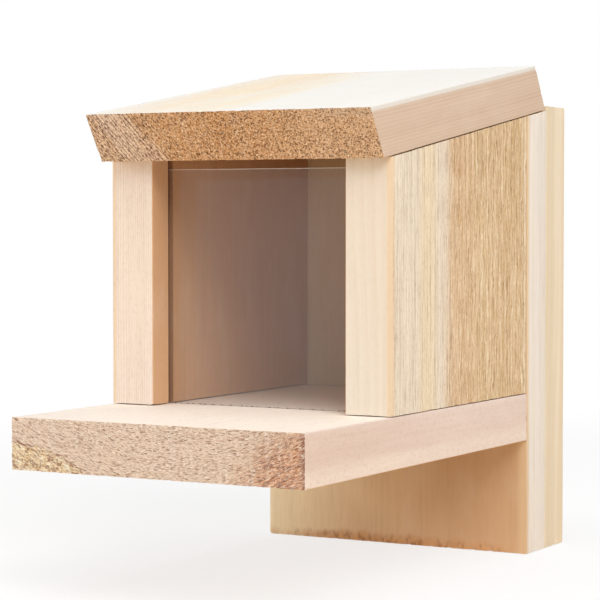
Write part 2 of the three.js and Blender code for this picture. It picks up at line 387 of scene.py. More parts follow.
@dataclass(frozen=True)
class EndGrain:
    """The look of a sawn end: torn pores and tufts drawn out along the rings.

    Sizes are millimetres. A pore's cell runs out from the pith and round it. The dark seams of the
    rings show from the first calm distance across the board, and fully from the second. Sunk and
    raised are how much the grit and the hairs count. An edge is where a soft step starts and where it
    is full, and a line is what it gives at 0 and what it gains up to 1.
    """

    ground: Paint
    ring: Paint
    pore: Paint
    tuft: Paint
    depth: float = 0.7
    dent: float = 0.45
    grit: float = 1.0
    ring_share: float = 0.4
    seam_share: float = 0.5
    cell: Pair = (1.0, 1.6)
    pore_length: float = 4.0
    pore_edge: Pair = (0.48, 0.20)
    chance_edge: Pair = (0.10, 0.65)
    grit_share: float = 0.62
    grit_length: float = 2.0
    grit_rough: float = 0.6
    jolt: float = 1.1
    jolt_grain: Grain = Grain((0.9, 0.9, 3.0), 2.0, 0.6)
    hair_grain: Grain = Grain((0.35, 0.35, 1.0), 1.0)
    patch_grain: Grain = Grain((7, 5, 9))
    patch_edge: Pair = (0.30, 0.70)
    saw_grain: Grain = Grain((3.2, 70, 70))
    saw_tuft: float = 0.8
    calm: Pair = (30.0, 80.0)
    ground_share: float = 0.8
    season_edge: Pair = (0.66, 0.88)
    year_edge: Pair = (0.1, 0.7)
    sunk: Pair = (4.0, 2.0)
    raised: Pair = (3.4, 2.0)
    seam_floor: float = 0.5
    sunk_line: Pair = (0.70, 0.60)
    pore_line: Pair = (0.85, 0.55)
    patch_line: Pair = (0.60, 0.40)
    roughness_line: Pair = (0.80, 0.15)
    gloss: float = 0.2
    relief: float = 0.14


@dataclass(frozen=True)
class Timber:
    """Softwood with growth rings round a pith that lies off the board.

    Sizes are millimetres, and a grain's are across, through and along the board. The seed moves the
    whole pattern, in metres along the board. A sawn face turns coarse from the first coarse place
    across it to the second. Dark and light are how much the fibres, the strands and the nap count. An
    edge is where a soft step starts and where it is full, and a line is what it gives at 0 and what it
    gains up to 1.
    """

    early: Paint
    late: Paint
    fibre: Paint
    end: EndGrain
    pith: Pair = (0.0, 90.0)
    ring: float = 1.3
    ring_sway: float = 2.2
    band: float = 6.0
    band_length: float = 900
    band_edge: Pair = (0.36, 0.64)
    band_share: float = 0.4
    sawn_band_share: float = 0.3
    late_share: float = 0.5
    late_edge: Pair = (0.25, 0.85)
    close_edge: Pair = (0.90, 1.0)
    year_line: Pair = (0.45, 0.55)
    drift: float = 3.0
    wander_grain: Grain = Grain((38, 38, 260))
    slow_grain: Grain = Grain((9, 9, 300))
    edge_grain: Grain = Grain((7, 7, 34), 3.0, 0.6)
    gloss: float = 0.25

    fibre_grain: Grain = Grain((0.6, 0.6, 14), 3.0, 0.6)
    strand_grain: Grain = Grain((2.4, 2.4, 80), 2.0, 0.55)
    cloud_grain: Grain = Grain((16, 16, 40), 3.0, 0.55)
    nap_grain: Grain = Grain((1.2, 1.2, 2.4), 2.0, 0.7)
    fibre_dark: float = 2.4
    strand_dark: float = 2.0
    mottle: float = 3.0
    streak: float = 0.15
    streak_share: float = 0.6
    sheen: Paint = tone(255, 244, 226)
    sheen_share: float = 0.5
    roughness_line: Pair = (0.62, 0.30)
    late_roughness: float = 0.05
    fibre_relief: float = 0.05
    late_relief: float = 0.02

    sway_grain: Grain = Grain((5, 5, 15), 3.0, 0.6)
    sway_line: Pair = (1.0, 4.0)
    saw_fibre_grain: Grain = Grain((0.72, 0.72, 11), 3.0, 0.65)
    saw_strand_grain: Grain = Grain((1.5, 1.5, 80), 2.0, 0.6)
    saw_nap_grain: Grain = Grain((0.9, 0.9, 2.2), 2.0, 0.65)
    saw_dark: Triple = (4.2, 3.0, 2.0)
    saw_light: Triple = (4.0, 3.0, 1.4)
    saw_streak: float = 0.80
    saw_sheen: Paint = tone(255, 246, 224)
    coarse: Pair = (-24.0, -10.0)
    coarse_line: Pair = (0.62, 0.38)
    speck_edge: Pair = (0.68, 0.75)
    speck_share: float = 0.5
    speck_dent: float = 0.1
    saw_roughness_line: Pair = (0.78, 0.25)
    relief: float = 0.22
    nap_relief: float = 0.3

    seed: float = 0.0
    stains_and_light: tuple[StainOrLight, ...] = ()
    bands: tuple[Band, ...] = ()

    def material(self, name: str, place: Matrix, cut: Cut) -> bpy.types.Material:
        """The board's material for one kind of face.

        Args:
            name: The board's name.
            place: The board's axes in the part's.
            cut: How the face was made.

        Returns:
            The material.
        """
        graph = Graph(bpy.data.materials.new(f"{name}_{cut.value}"))
        point = graph.place(place @ Matrix.Translation((0, 0, -self.seed)))
        across, through, along = graph.split(point)
        wander_across, wander_through, _ = graph.split(graph.noise(point, self.wander_grain, "Color"))
        x = across - self.pith[0] + (wander_across - NOISE_MEAN) * (2 * self.drift)
        y = through - self.pith[1] + (wander_through - NOISE_MEAN) * (2 * self.drift)
        radius = (x * x + y * y) ** 0.5
        ringwise = graph.vector(radius, y.angle_from(x) * math.hypot(*self.pith), along)

        lengthwise = graph.vector(radius, 0, along)
        count = radius / self.ring + graph.noise(lengthwise, self.slow_grain) * self.ring_sway
        season = count.fraction()
        year = graph.out("Value", "ShaderNodeTexWhiteNoise", {"noise_dimensions": "1D"}, {"W": count.whole()})
        closing = 1 - season.ramp(*self.close_edge)
        late = season.ramp(*self.late_edge) * closing * year.line(self.year_line)
        band_grain = Grain((self.band, self.band, self.band_length), 1.0)
        broad = graph.noise(lengthwise, band_grain).ramp(*self.band_edge)
        band_share = self.band_share * (self.sawn_band_share if cut is Cut.SAWN else 1.0)
        color = graph.mix(late * self.late_share, self.early, self.late)
        color = graph.mix(broad * band_share, color, self.late)
        if cut is Cut.END:
            color = graph.mix(self.end.ground_share, color, self.end.ground)
            color = self._stained_and_lit(graph, color, point, ringwise, cut)
            seam = season.ramp(*self.end.season_edge) * closing * year.ramp(*self.end.year_edge)
            lined = (x * x).ramp(self.end.calm[0] ** 2, self.end.calm[1] ** 2)
            return self._end_grain(graph, color, point, ringwise, late, seam * lined)
        color = self._stained_and_lit(graph, color, point, ringwise, cut)
        if cut is Cut.SAWN:
            return self._sawn(graph, color, point)
        return self._planed(graph, color, point, late)

    def _stained_and_lit(self, graph: Graph, color: Wire, point: Wire, ringwise: Wire, cut: Cut) -> Wire:
        """The colour with every band of rings, every patch of staining and every patch of painted light or
        shade laid over it.

        Args:
            graph: The material's tree.
            color: The colour under the patches.
            point: The point in the board's axes.
            ringwise: Distance from the pith, round it and along the board.
            cut: How the face was made.

        Returns:
            The colour with its staining and its painted light and shade.
        """
        edge = graph.noise(point, self.edge_grain)
        radius, _, _ = graph.split(ringwise)
        for band in self.bands:
            if cut in band.cuts:
                half = band.softness / 2
                ragged = radius + (edge - NOISE_MEAN) * (2 * band.softness)
                inside = ragged.ramp(band.inner - half, band.inner + half)
                inside = inside * ragged.ramp(band.outer + half, band.outer - half)
                color = graph.mix(inside * band.strength, color, band.color)
        for stain_or_light in self.stains_and_light:
            if cut not in stain_or_light.cuts:
                continue
            centre = (stain_or_light.middle[0], stain_or_light.middle[1], stain_or_light.middle[2] + self.seed / MM)
            away = graph.out(0, "ShaderNodeVectorMath", {"operation": "SUBTRACT"}, {0: point, 1: centre})
            away = graph.stretched(away, tuple(1 / reach for reach in stain_or_light.reach))
            distance = graph.out("Value", "ShaderNodeVectorMath", {"operation": "LENGTH"}, {0: away})
            distance = distance + (edge - NOISE_MEAN) * stain_or_light.rag
            share = distance.ramp(1.0 + stain_or_light.softness / 2, 1.0 - stain_or_light.softness / 2) * stain_or_light.strength
            color = graph.mix(share, color, stain_or_light.color)
            if stain_or_light.fleck:
                fleck_grain = Grain((*stain_or_light.fleck_size, stain_or_light.fleck_length), rough=stain_or_light.fleck_rough)
                torn = graph.noise(ringwise, fleck_grain)
                color = graph.mix(share * torn.ramp(*stain_or_light.dark_edge) * stain_or_light.fleck, color, stain_or_light.dark)
                color = graph.mix(share * torn.ramp(*stain_or_light.pale_edge) * stain_or_light.fleck, color, stain_or_light.pale)
            if stain_or_light.rim:
                line = distance.ramp(*stain_or_light.rim_outside) * distance.ramp(*stain_or_light.rim_inside)
                color = graph.mix(line * edge.ramp(*stain_or_light.rim_gaps) * stain_or_light.rim, color, stain_or_light.dark)
        return color

    def _end_grain(self, graph: Graph, color: Wire, point: Wire, ringwise: Wire, late: Wire,
                   seam: Wire) -> bpy.types.Material:
        """The material of a sawn end.

        Args:
            graph: The material's tree.
            color: The wood's colour before the saw opened it.
            point: The point in the board's axes.
            ringwise: Distance from the pith, round it and along the board.
            late: Share of late wood.
            seam: How strongly the dark close of a ring shows.

        Returns:
            The material.
        """
        end = self.end
        jolt = graph.noise(point, end.jolt_grain, "Color")
        ringwise = graph.out(0, "ShaderNodeVectorMath", {"operation": "MULTIPLY_ADD"}, {
            0: jolt, 1: (end.cell[0] * end.jolt, end.cell[1], 0.0), 2: ringwise,
        })
        distance, chance = graph.cells(ringwise, (*end.cell, end.pore_length))
        hole = distance.ramp(*end.pore_edge) * chance.ramp(*end.chance_edge)
        grit_cell = (end.cell[0] * end.grit_share, end.cell[1] * end.grit_share, end.grit_length)
        grit = graph.noise(ringwise, Grain(grit_cell, rough=end.grit_rough))
        hair = graph.noise(point, end.hair_grain)
        patch = graph.noise(point, end.patch_grain).ramp(*end.patch_edge)
        saw = graph.noise(point, end.saw_grain)
        sunk = weighed([grit.below(), hair.below()], end.sunk)
        raised = weighed([grit.above(), hair.above()], end.raised)
        color = graph.mix(late * end.ring_share, color, end.ring)
        color = graph.mix(saw.above() * end.saw_tuft, color, end.tuft)
        color = graph.mix(raised * end.grit, color, end.tuft)
        color = graph.mix(sunk * end.grit * seam.line(end.sunk_line), color, end.pore)
        color = graph.mix(seam * (end.seam_floor + sunk) * end.seam_share, color, end.pore)
        opened = hole * seam.line(end.pore_line) * patch.line(end.patch_line)
        color = graph.mix(opened * end.depth, color, end.pore)
        return graph.finish(graph.principled({
            "Base Color": color,
            "Roughness": hole.line(end.roughness_line),
            "Specular IOR Level": end.gloss,
            "Normal": graph.bump(raised * end.relief - sunk * end.relief - hole * end.dent),
        }))

    def _sawn(self, graph: Graph, color: Wire, point: Wire) -> bpy.types.Material:
        """The material of a face that came rough from the saw, with long wavy fibres.

        Args:
            graph: The material's tree.
            color: The wood's colour.
            point: The point in the board's axes.

        Returns:
            The material.
        """
        sway = graph.noise(point, self.sway_grain)
        across, through, along = graph.split(point)
        rough = across.ramp(*self.coarse)
        swayed = graph.vector(across + (sway - NOISE_MEAN) * rough.line(self.sway_line), through, along)
        fibre = graph.noise(swayed, self.saw_fibre_grain)
        strand = graph.noise(swayed, self.saw_strand_grain)
        nap = graph.noise(swayed, self.saw_nap_grain)
        speck = nap.ramp(*self.speck_edge)
        share = rough.line(self.coarse_line) * self.saw_streak
        dark = weighed([wave.below() for wave in (fibre, strand, nap)], self.saw_dark)
        light = weighed([wave.above() for wave in (fibre, strand, nap)], self.saw_light)
        color = graph.mix(dark * share, color, self.fibre)
        color = graph.mix(light * share, color, self.saw_sheen)
        color = graph.mix(speck * rough * self.speck_share, color, self.end.pore)
        height = fibre + strand + nap * self.nap_relief - NOISE_MEAN * (2 + self.nap_relief)
        return graph.finish(graph.principled({
            "Base Color": color,
            "Roughness": (fibre - NOISE_MEAN).line(self.saw_roughness_line),
            "Specular IOR Level": self.gloss,
            "Normal": graph.bump(height * self.relief - speck * self.speck_dent),
        }))

    def _planed(self, graph: Graph, color: Wire, point: Wire, late: Wire) -> bpy.types.Material:
        """The material of a planed face.

        Args:
            graph: The material's tree.
            color: The wood's colour.
            point: The point in the board's axes.
            late: Share of late wood.

        Returns:
            The material.
        """
        fibre = graph.noise(point, self.fibre_grain)
        strand = graph.noise(point, self.strand_grain)
        cloud = graph.noise(point, self.cloud_grain)
        nap = graph.noise(point, self.nap_grain)
        swing = fibre - NOISE_MEAN
        dark = weighed([wave.below() for wave in (fibre, strand, nap)],
                       [self.fibre_dark, self.strand_dark, self.mottle])
        color = graph.mix(dark * self.streak * self.streak_share, color, self.fibre)
        color = graph.mix(cloud.above() * self.sheen_share, color, self.sheen)
        return graph.finish(graph.principled({
            "Base Color": color,
            "Roughness": swing.line(self.roughness_line) + late * self.late_roughness,
            "Specular IOR Level": self.gloss,
            "Normal": graph.bump(swing * self.fibre_relief + late * self.late_relief),
        }))


@dataclass(frozen=True)
class PlatedSteel:
    """Steel under a thin plating, cloudy and lightly scratched.

    A grain's sizes are millimetres. An edge is where a soft step starts and where it is full.
    """

    bright: Paint
    cloudy: Paint
    hue: Paint
    cloud_grain: Grain = Grain((3.5, 3.5, 3.5), 3.0, 0.6)
    cloud_edge: Pair = (0.35, 0.70)
    tint_grain: Grain = Grain((6, 6, 6), 1.0)
    tint_edge: Pair = (0.45, 0.75)
    tint_share: float = 0.6
    pit_grain: Grain = Grain((0.35, 0.35, 0.35), 2.0, 0.6)
    scratch_grain: Grain = Grain((9.0, 0.25, 0.25), 2.0, 0.6)
    scratch_edge: Pair = (0.60, 0.70)
    roughness: float = 0.32
    cloud_roughness: float = 0.25
    pit_roughness: float = 0.08
    scratch_roughness: float = 0.10
    pit_relief: float = 0.02
    scratch_relief: float = 0.01

    def material(self, name: str) -> bpy.types.Material:
        """The plating's material.

        Args:
            name: The material's name.

        Returns:
            The material.
        """
        graph = Graph(bpy.data.materials.new(name))
        point = graph.place(Matrix.Identity(4))
        cloud = graph.noise(point, self.cloud_grain)
        tint = graph.noise(point, self.tint_grain)
        pits = graph.noise(point, self.pit_grain)
        scratch = graph.noise(point, self.scratch_grain).ramp(*self.scratch_edge)
        color = graph.mix(cloud.ramp(*self.cloud_edge), self.bright, self.cloudy)
        color = graph.mix(tint.ramp(*self.tint_edge) * self.tint_share, color, self.hue)
        roughness = self.roughness + (cloud - NOISE_MEAN) * self.cloud_roughness
        roughness = roughness + pits * self.pit_roughness + scratch * self.scratch_roughness
        return graph.finish(graph.principled({
            "Base Color": color,
            "Metallic": 1.0,
            "Roughness": roughness,
            "Normal": graph.bump(pits * self.pit_relief - scratch * self.scratch_relief),
        }))


@dataclass(frozen=True)
class ClearSheet:
    """Clear acrylic sheet with a faint haze, bright sawn edges and a painted shadow along its foot.

    A grain's sizes and the painted shadow's are millimetres. The painted shadow is a dashed dark line at the
    foot of the front face; it fades out up to the first height above the foot and to the first depth behind
    the front face, and is full up to the second. An edge is where a soft step starts and where it is full,
    and a line is what it gives at 0 and what it gains up to 1.
    """

    veil: Paint
    edge: Paint
    foot_shade: Paint
    smear_grain: Grain = Grain((24, 24, 60), 3.0, 0.6)
    smear_floor: float = 0.5
    dust_grain: Grain = Grain((0.8, 0.8, 0.8), 2.0, 0.7)
    dust_edge: Pair = (0.70, 0.78)
    dash_grain: Grain = Grain((2.2, 2.2, 9.0), 2.0, 0.6)
    dash_edge: Pair = (0.51, 0.56)
    foot_shade_height: Pair = (0.45, 0.2475)
    foot_shade_depth: Pair = (0.5, 0.2)
    haze: float = 0.03
    edge_haze: float = 0.6
    dust_haze: float = 0.05
    foot_shade_haze: float = 0.8
    veil_roughness: float = 0.6
    edge_roughness: float = 0.30
    roughness_line: Pair = (0.05, 0.08)
    dust_roughness: float = 0.2
    polish_power: float = 5
    polish_line: Pair = (0.025, 0.9)

    def material(self, name: str, edge: bool, corner: Vector) -> bpy.types.Material:
        """The sheet's material.

        Args:
            name: The material's name.
            edge: True for the sawn edges, False for the two faces.
            corner: The sheet's lowest corner in front.

        Returns:
            The material.
        """
        graph = Graph(bpy.data.materials.new(name))
        point = graph.place(Matrix.Translation((0, corner.y, corner.z)))
        smear = graph.noise(point, self.smear_grain)
        dust = graph.noise(point, self.dust_grain).ramp(*self.dust_edge)
        dashes = graph.noise(point, self.dash_grain).ramp(*self.dash_edge)
        _, depth, height = graph.split(point)
        # Painted shadow: a dashed dark line at the foot of the front face, hazier so that its colour shows,
        # stands in for the shade in the gap under the pane.
        foot_shade = height.ramp(*self.foot_shade_height) * depth.ramp(*self.foot_shade_depth) * dashes
        veil = graph.principled({
            "Base Color": graph.mix(foot_shade, self.edge if edge else self.veil, self.foot_shade),
            "Roughness": self.veil_roughness,
            "Specular IOR Level": 0.0,
        })
        haze = (self.edge_haze if edge else self.haze) * (self.smear_floor + smear)
        haze = haze + dust * self.dust_haze + foot_shade * self.foot_shade_haze
        sheet = graph.blended(haze, graph.out(0, "ShaderNodeBsdfTransparent"), veil)
        facing = graph.out("Facing", "ShaderNodeLayerWeight", inputs={"Blend": 0.5})
        roughness = self.edge_roughness
        if not edge:
            roughness = smear.line(self.roughness_line) + dust * self.dust_roughness
        polish = graph.out(0, "ShaderNodeBsdfGlossy", inputs={"Color": self.edge, "Roughness": roughness})
        reflected = (facing ** self.polish_power).line(self.polish_line)
        return graph.finish(graph.blended(reflected, sheet, polish))


# Mesh building
def turned_about(bm: bmesh.types.BMesh, outline: Sequence[Pair], steps: int) -> None:
    """Turns an outline of (radius, height) points round the Z axis into a closed solid.

    Args:
        bm: The mesh that the solid is added to.
        outline: The points from the axis back to the axis.
        steps: How many facets go round.
    """
    corners = [bm.verts.new((radius, 0, height)) for radius, height in outline]
    edges = [bm.edges.new(pair) for pair in zip(corners, corners[1:])]
    bmesh.ops.spin(bm, geom=corners + edges, cent=(0, 0, 0), axis=(0, 0, 1), dvec=(0, 0, 0),
                   angle=TURN, steps=steps, use_merge=True, use_duplicate=False)
    bmesh.ops.remove_doubles(bm, verts=bm.verts[:], dist=TINY)
    bmesh.ops.recalc_face_normals(bm, faces=bm.faces[:])


def block(bm: bmesh.types.BMesh, low: Vector, high: Vector) -> list[bmesh.types.BMVert]:
    """Adds a block between two corners.

    Args:
        bm: The mesh that the block is added to.
        low: Its lowest corner.
        high: Its highest corner.

    Returns:
        The block's vertices.
    """
    verts = bmesh.ops.create_cube(bm, size=1.0)["verts"]
    bmesh.ops.scale(bm, vec=high - low, verts=verts)
    bmesh.ops.translate(bm, vec=(low + high) / 2, verts=verts)
    return verts


def cut_off(bm: bmesh.types.BMesh, point: Vector, normal: Vector) -> None:
    """Cuts away what lies past a plane and closes the cut.

    Args:
        bm: The mesh.
        point: A point on the plane.
        normal: The side that is cut away.
    """
    everything = bm.verts[:] + bm.edges[:] + bm.faces[:]
    cut = bmesh.ops.bisect_plane(bm, geom=everything, dist=TINY, plane_co=point, plane_no=normal,
                                 clear_outer=True)
    rim = [item for item in cut["geom_cut"] if isinstance(item, bmesh.types.BMEdge)]
    bmesh.ops.contextual_create(bm, geom=rim)


def score(bm: bmesh.types.BMesh, point: Vector, normal: Vector,
          chosen: Optional[Callable[[bmesh.types.BMFace], bool]] = None) -> None:
    """Runs a line of edges round the mesh where a plane meets the chosen faces.

    Args:
        bm: The mesh.
        point: A point on the plane.
        normal: The plane's direction.
        chosen: Tells which faces the line divides, or None for all of them.
    """
    faces = [face for face in bm.faces if chosen is None or chosen(face)]
    edges = dict.fromkeys(edge for face in faces for edge in face.edges)
    verts = dict.fromkeys(vert for face in faces for vert in face.verts)
    bmesh.ops.bisect_plane(bm, geom=[*verts, *edges, *faces], dist=TINY, plane_co=point, plane_no=normal)


def spaced(low: float, high: float, pitch: float) -> list[float]:
    """Evenly spaced places between two ends, about a pitch apart, without the ends."""
    count = max(1, round((high - low) / pitch))
    return [low + (high - low) * step / count for step in range(1, count)]


def in_cells(point: Vector, cell: Triple, shift: Triple = (0, 0, 0)) -> Vector:
    """A point counted in cells of the given size, and moved on by a shift."""
    return Vector([place / size + move for place, size, move in zip(point, cell, shift)])


def object_of(bm: bmesh.types.BMesh, name: str, materials: Sequence[bpy.types.Material],
              smooth: float = math.radians(35)) -> bpy.types.Object:
    """Ends a mesh and returns its object.

    Args:
        bm: The mesh, which is freed.
        name: The object's name.
        materials: Its materials in slot order.
        smooth: Edges that turn less than this are shaded smooth.

    Returns:
        The object, linked to the scene.
    """
    mesh = bpy.data.meshes.new(name)
    bm.to_mesh(mesh)
    bm.free()
    for material in materials:
        mesh.materials.append(material)
    mesh.shade_smooth()
    mesh.set_sharp_from_angle(angle=smooth)
    made = bpy.data.objects.new(name, mesh)
    bpy.context.scene.collection.objects.link(made)
    return made


def carved(bm: bmesh.types.BMesh, cutter: bmesh.types.BMesh) -> bmesh.types.BMesh:
    """A mesh with the solids of a cutter taken out of it.

    Args:
        bm: The mesh, which is freed.
        cutter: The solids, which are freed and mustn't overlap.

    Returns:
        The carved mesh.
    """
    body, tool = object_of(bm, "body", ()), object_of(cutter, "cutter", ())
    modifier = body.modifiers.new("carve", "BOOLEAN")
    modifier.operation = "DIFFERENCE"
    modifier.solver = "EXACT"
    modifier.object = tool
    graph = bpy.context.evaluated_depsgraph_get()
    carved_mesh = bpy.data.meshes.new_from_object(body.evaluated_get(graph))
    result = bmesh.new()
    result.from_mesh(carved_mesh)
    for made in (body, tool):
        mesh = made.data
        bpy.data.objects.remove(made)
        bpy.data.meshes.remove(mesh)
    bpy.data.meshes.remove(carved_mesh)
    return result


def settle(piece: bpy.types.Object, body: str, slot: str, *nodes: str) -> bpy.types.Object:
    """Makes a piece ride on a body in place of its nodes, and reports it.

    Args:
        piece: The finished piece.
        body: The body that it rides on.
        slot: Its material slot; not used.
        nodes: The nodes that it takes the place of.

    Returns:
        The piece.
    """
    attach(piece, body)
    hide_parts(*nodes)
    log.info("%s rides on %s, %d faces", piece.name, body, len(piece.data.polygons))
    return piece


def axes(origin: Vector, across: Vector, through: Vector, along: Vector) -> Matrix:
    """A matrix from a piece's own axes to the part's.

    Args:
        origin: Where the piece's own zero is.
        across: The way that its X axis points.
        through: The way that its Y axis points.
        along: The way that its Z axis points.

    Returns:
        The matrix.
    """
    turn = Matrix((across, through, along)).transposed().to_4x4()
    return Matrix.Translation(origin) @ turn


# Screws
@dataclass(frozen=True)
class ScrewKind:
    """A countersunk wood screw, head at the top of its own Z axis.

    The crest and the head are radii, the rim is the head's straight edge, and the tip is the length
    of the point. The plain share is how much of the shank has no thread, and the ridge share how much
    of a turn of the thread stands out on either side of its crest. Nothing nearer to the axis than
    the core is drawn in.
    """

    crest: float
    head: float
    rim: float
    tip: float
    pitch: float
    plain_share: float
    recess_span: float
    recess_width: float
    recess_depth: float
    recess_taper: Triple = (0.45, 0.8, 1.0)
    root_share: float = 0.68
    plain_root_share: float = 0.76
    ridge_share: float = 0.30
    core: float = 0.02 * MM
    facets: int = 24
    rings_per_turn: int = 8
    clearance: float = 0.2 * MM
    smooth: float = math.radians(40)

    def outline(self, length: float, grow: float = 0.0, rise: float = 0.0) -> list[Pair]:
        """The screw's plain outline.

        Args:
            length: From the head's top to the tip.
            grow: How much wider and longer it is than the screw.
            rise: How far it runs on past the head.

        Returns:
            Points of (radius, height) from the tip up.
        """
        crest, head = self.crest + grow, self.head + grow
        return [
            (0.0, -length - grow), (crest, self.tip - length), (crest, self.crest - self.head - self.rim),
            (head, -self.rim), (head, rise), (0.0, rise),
        ]

    def mesh(self, length: float, name: str, material: bpy.types.Material) -> bpy.types.Mesh:
        """The screw's own mesh, with its thread and its cross recess.

        Args:
            length: From the head's top to the tip.
            name: The mesh's name.
            material: Its plating.

        Returns:
            The mesh.
        """
        neck = self.crest - self.head - self.rim
        step = self.pitch / self.rings_per_turn
        shank = [(self.crest, height) for height in spaced(self.tip - length, neck, step)]
        point = [(self.crest * (length + height) / self.tip, height)
                 for height in spaced(-length, self.tip - length, step)]
        ease = self.rim / 2
        head = [(self.head, -self.rim), (self.head, -ease / 2), (self.head - ease, 0.0)]
        shank = [(self.crest, self.tip - length), *shank, (self.crest, neck)]
        screw = bmesh.new()
        turned_about(screw, [(0.0, -length), *point, *shank, *head, (0.0, 0.0)], self.facets)
        self._cut_thread(screw, length, neck)
        for turn in (0.0, TURN / 4):
            slot = bmesh.new()
            half = Vector((self.recess_span / 2, self.recess_width / 2, self.recess_depth))
            verts = block(slot, -half, half)
            low = [vert for vert in verts if vert.co.z < 0]
            bmesh.ops.scale(slot, vec=self.recess_taper, verts=low)
            bmesh.ops.rotate(slot, verts=verts, cent=(0, 0, 0), matrix=Matrix.Rotation(turn, 3, "Z"))
            screw = carved(screw, slot)
        made = object_of(screw, name, [material], self.smooth)
        mesh = made.data
        bpy.data.objects.remove(made)
        return mesh

    def _cut_thread(self, screw: bmesh.types.BMesh, length: float, neck: float) -> None:
        """Draws the shank in between the turns of a helix, from the tip up to the plain part.

        Args:
            screw: The turned screw.
            length: From the head's top to the tip.
            neck: The height at which the head's cone starts.
        """
        plain_from = neck - (length + neck) * self.plain_share
        for vert in screw.verts:
            radius = math.hypot(vert.co.x, vert.co.y)
            if vert.co.z > neck - self.pitch / self.rings_per_turn / 2 or radius < self.core:
                continue
            if vert.co.z > plain_from:
                share = self.plain_root_share
            else:
                phase = (vert.co.z / self.pitch - math.atan2(vert.co.y, vert.co.x) / TURN) % 1.0
                ridge = max(0.0, 1.0 - abs(phase - 0.5) / self.ridge_share)
                share = self.root_share + (1.0 - self.root_share) * ridge
            vert.co.x *= share
            vert.co.y *= share

    def hole(self, cutter: bmesh.types.BMesh, place: Matrix, length: float, rise: float) -> None:
        """Adds the screw's clearance hole to a cutter.

        Args:
            cutter: The mesh that holds the cutting solids.
            place: The screw's axes in the part's.
            length: The screw's length.
            rise: How far the hole runs on past the head.
        """
        single = bmesh.new()
        turned_about(single, self.outline(length, self.clearance, rise), self.facets)
        bmesh.ops.transform(single, matrix=place, verts=single.verts[:])
        mesh = bpy.data.meshes.new("hole")
        single.to_mesh(mesh)
        single.free()
        cutter.from_mesh(mesh)
        bpy.data.meshes.remove(mesh)


DECK = ScrewKind(crest=2.1 * MM, head=4.0 * MM, rim=0.4 * MM, tip=5.0 * MM, pitch=2.4 * MM, plain_share=0.30,
                 recess_span=4.6 * MM, recess_width=1.1 * MM, recess_depth=1.5 * MM)
SMALL = ScrewKind(crest=1.3 * MM, head=2.5 * MM, rim=0.25 * MM, tip=2.5 * MM, pitch=1.1 * MM, plain_share=0.0,
                  recess_span=2.8 * MM, recess_width=0.6 * MM, recess_depth=0.8 * MM, facets=20)


@dataclass
class Screw:
    """One screw, placed by its node in the frame."""

    node: str
    kind: ScrewKind
    outward: Vector
    length: float = field(init=False)
    place: Matrix = field(init=False)

    def __post_init__(self) -> None:
        """Reads the screw's ends off its node."""
        corners = [vert.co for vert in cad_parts[self.node].data.vertices]
        tip = min(corners, key=self.outward.dot)
        self.length = max(self.outward.dot(corner) for corner in corners) - self.outward.dot(tip)
        turn = self.outward.to_track_quat("Z", "Y").to_matrix().to_4x4()
        self.place = Matrix.Translation(tip + self.outward * self.length) @ turn


class ScrewBox:
    """All the screws, each design of which is made once and then copied."""

    def __init__(self, deck: PlatedSteel, small: PlatedSteel) -> None:
        """Makes the two platings.

        Args:
            deck: The plating of the deck screws.
            small: The plating of the hinge screws.
        """
        self.plating = {
            DECK: deck.material("deck_screw_plating"),
            SMALL: small.material("small_screw_plating"),
        }
        self.meshes: dict[tuple[ScrewKind, int], bpy.types.Mesh] = {}

    def drive(self, screw: Screw, body: str, slot: str) -> None:
        """Puts one screw where its node is.

        Args:
            screw: The screw.
            body: The body that it rides on.
            slot: Its material slot.
        """
        kind, whole_length = screw.kind, round(screw.length / MM)
        if (kind, whole_length) not in self.meshes:
            made = kind.mesh(screw.length, f"screw_{whole_length}mm", self.plating[kind])
            self.meshes[kind, whole_length] = made
        mesh = self.meshes[kind, whole_length].copy()
        mesh.transform(screw.place)
        piece = bpy.data.objects.new(f"{screw.node}_threaded", mesh)
        bpy.context.scene.collection.objects.link(piece)
        settle(piece, body, slot, screw.node)


# Boards
@dataclass(frozen=True)
class Stock:
    """The board that every wooden piece is sawn from."""

    width: float = 140 * MM
    thickness: float = 22 * MM


STOCK = Stock()


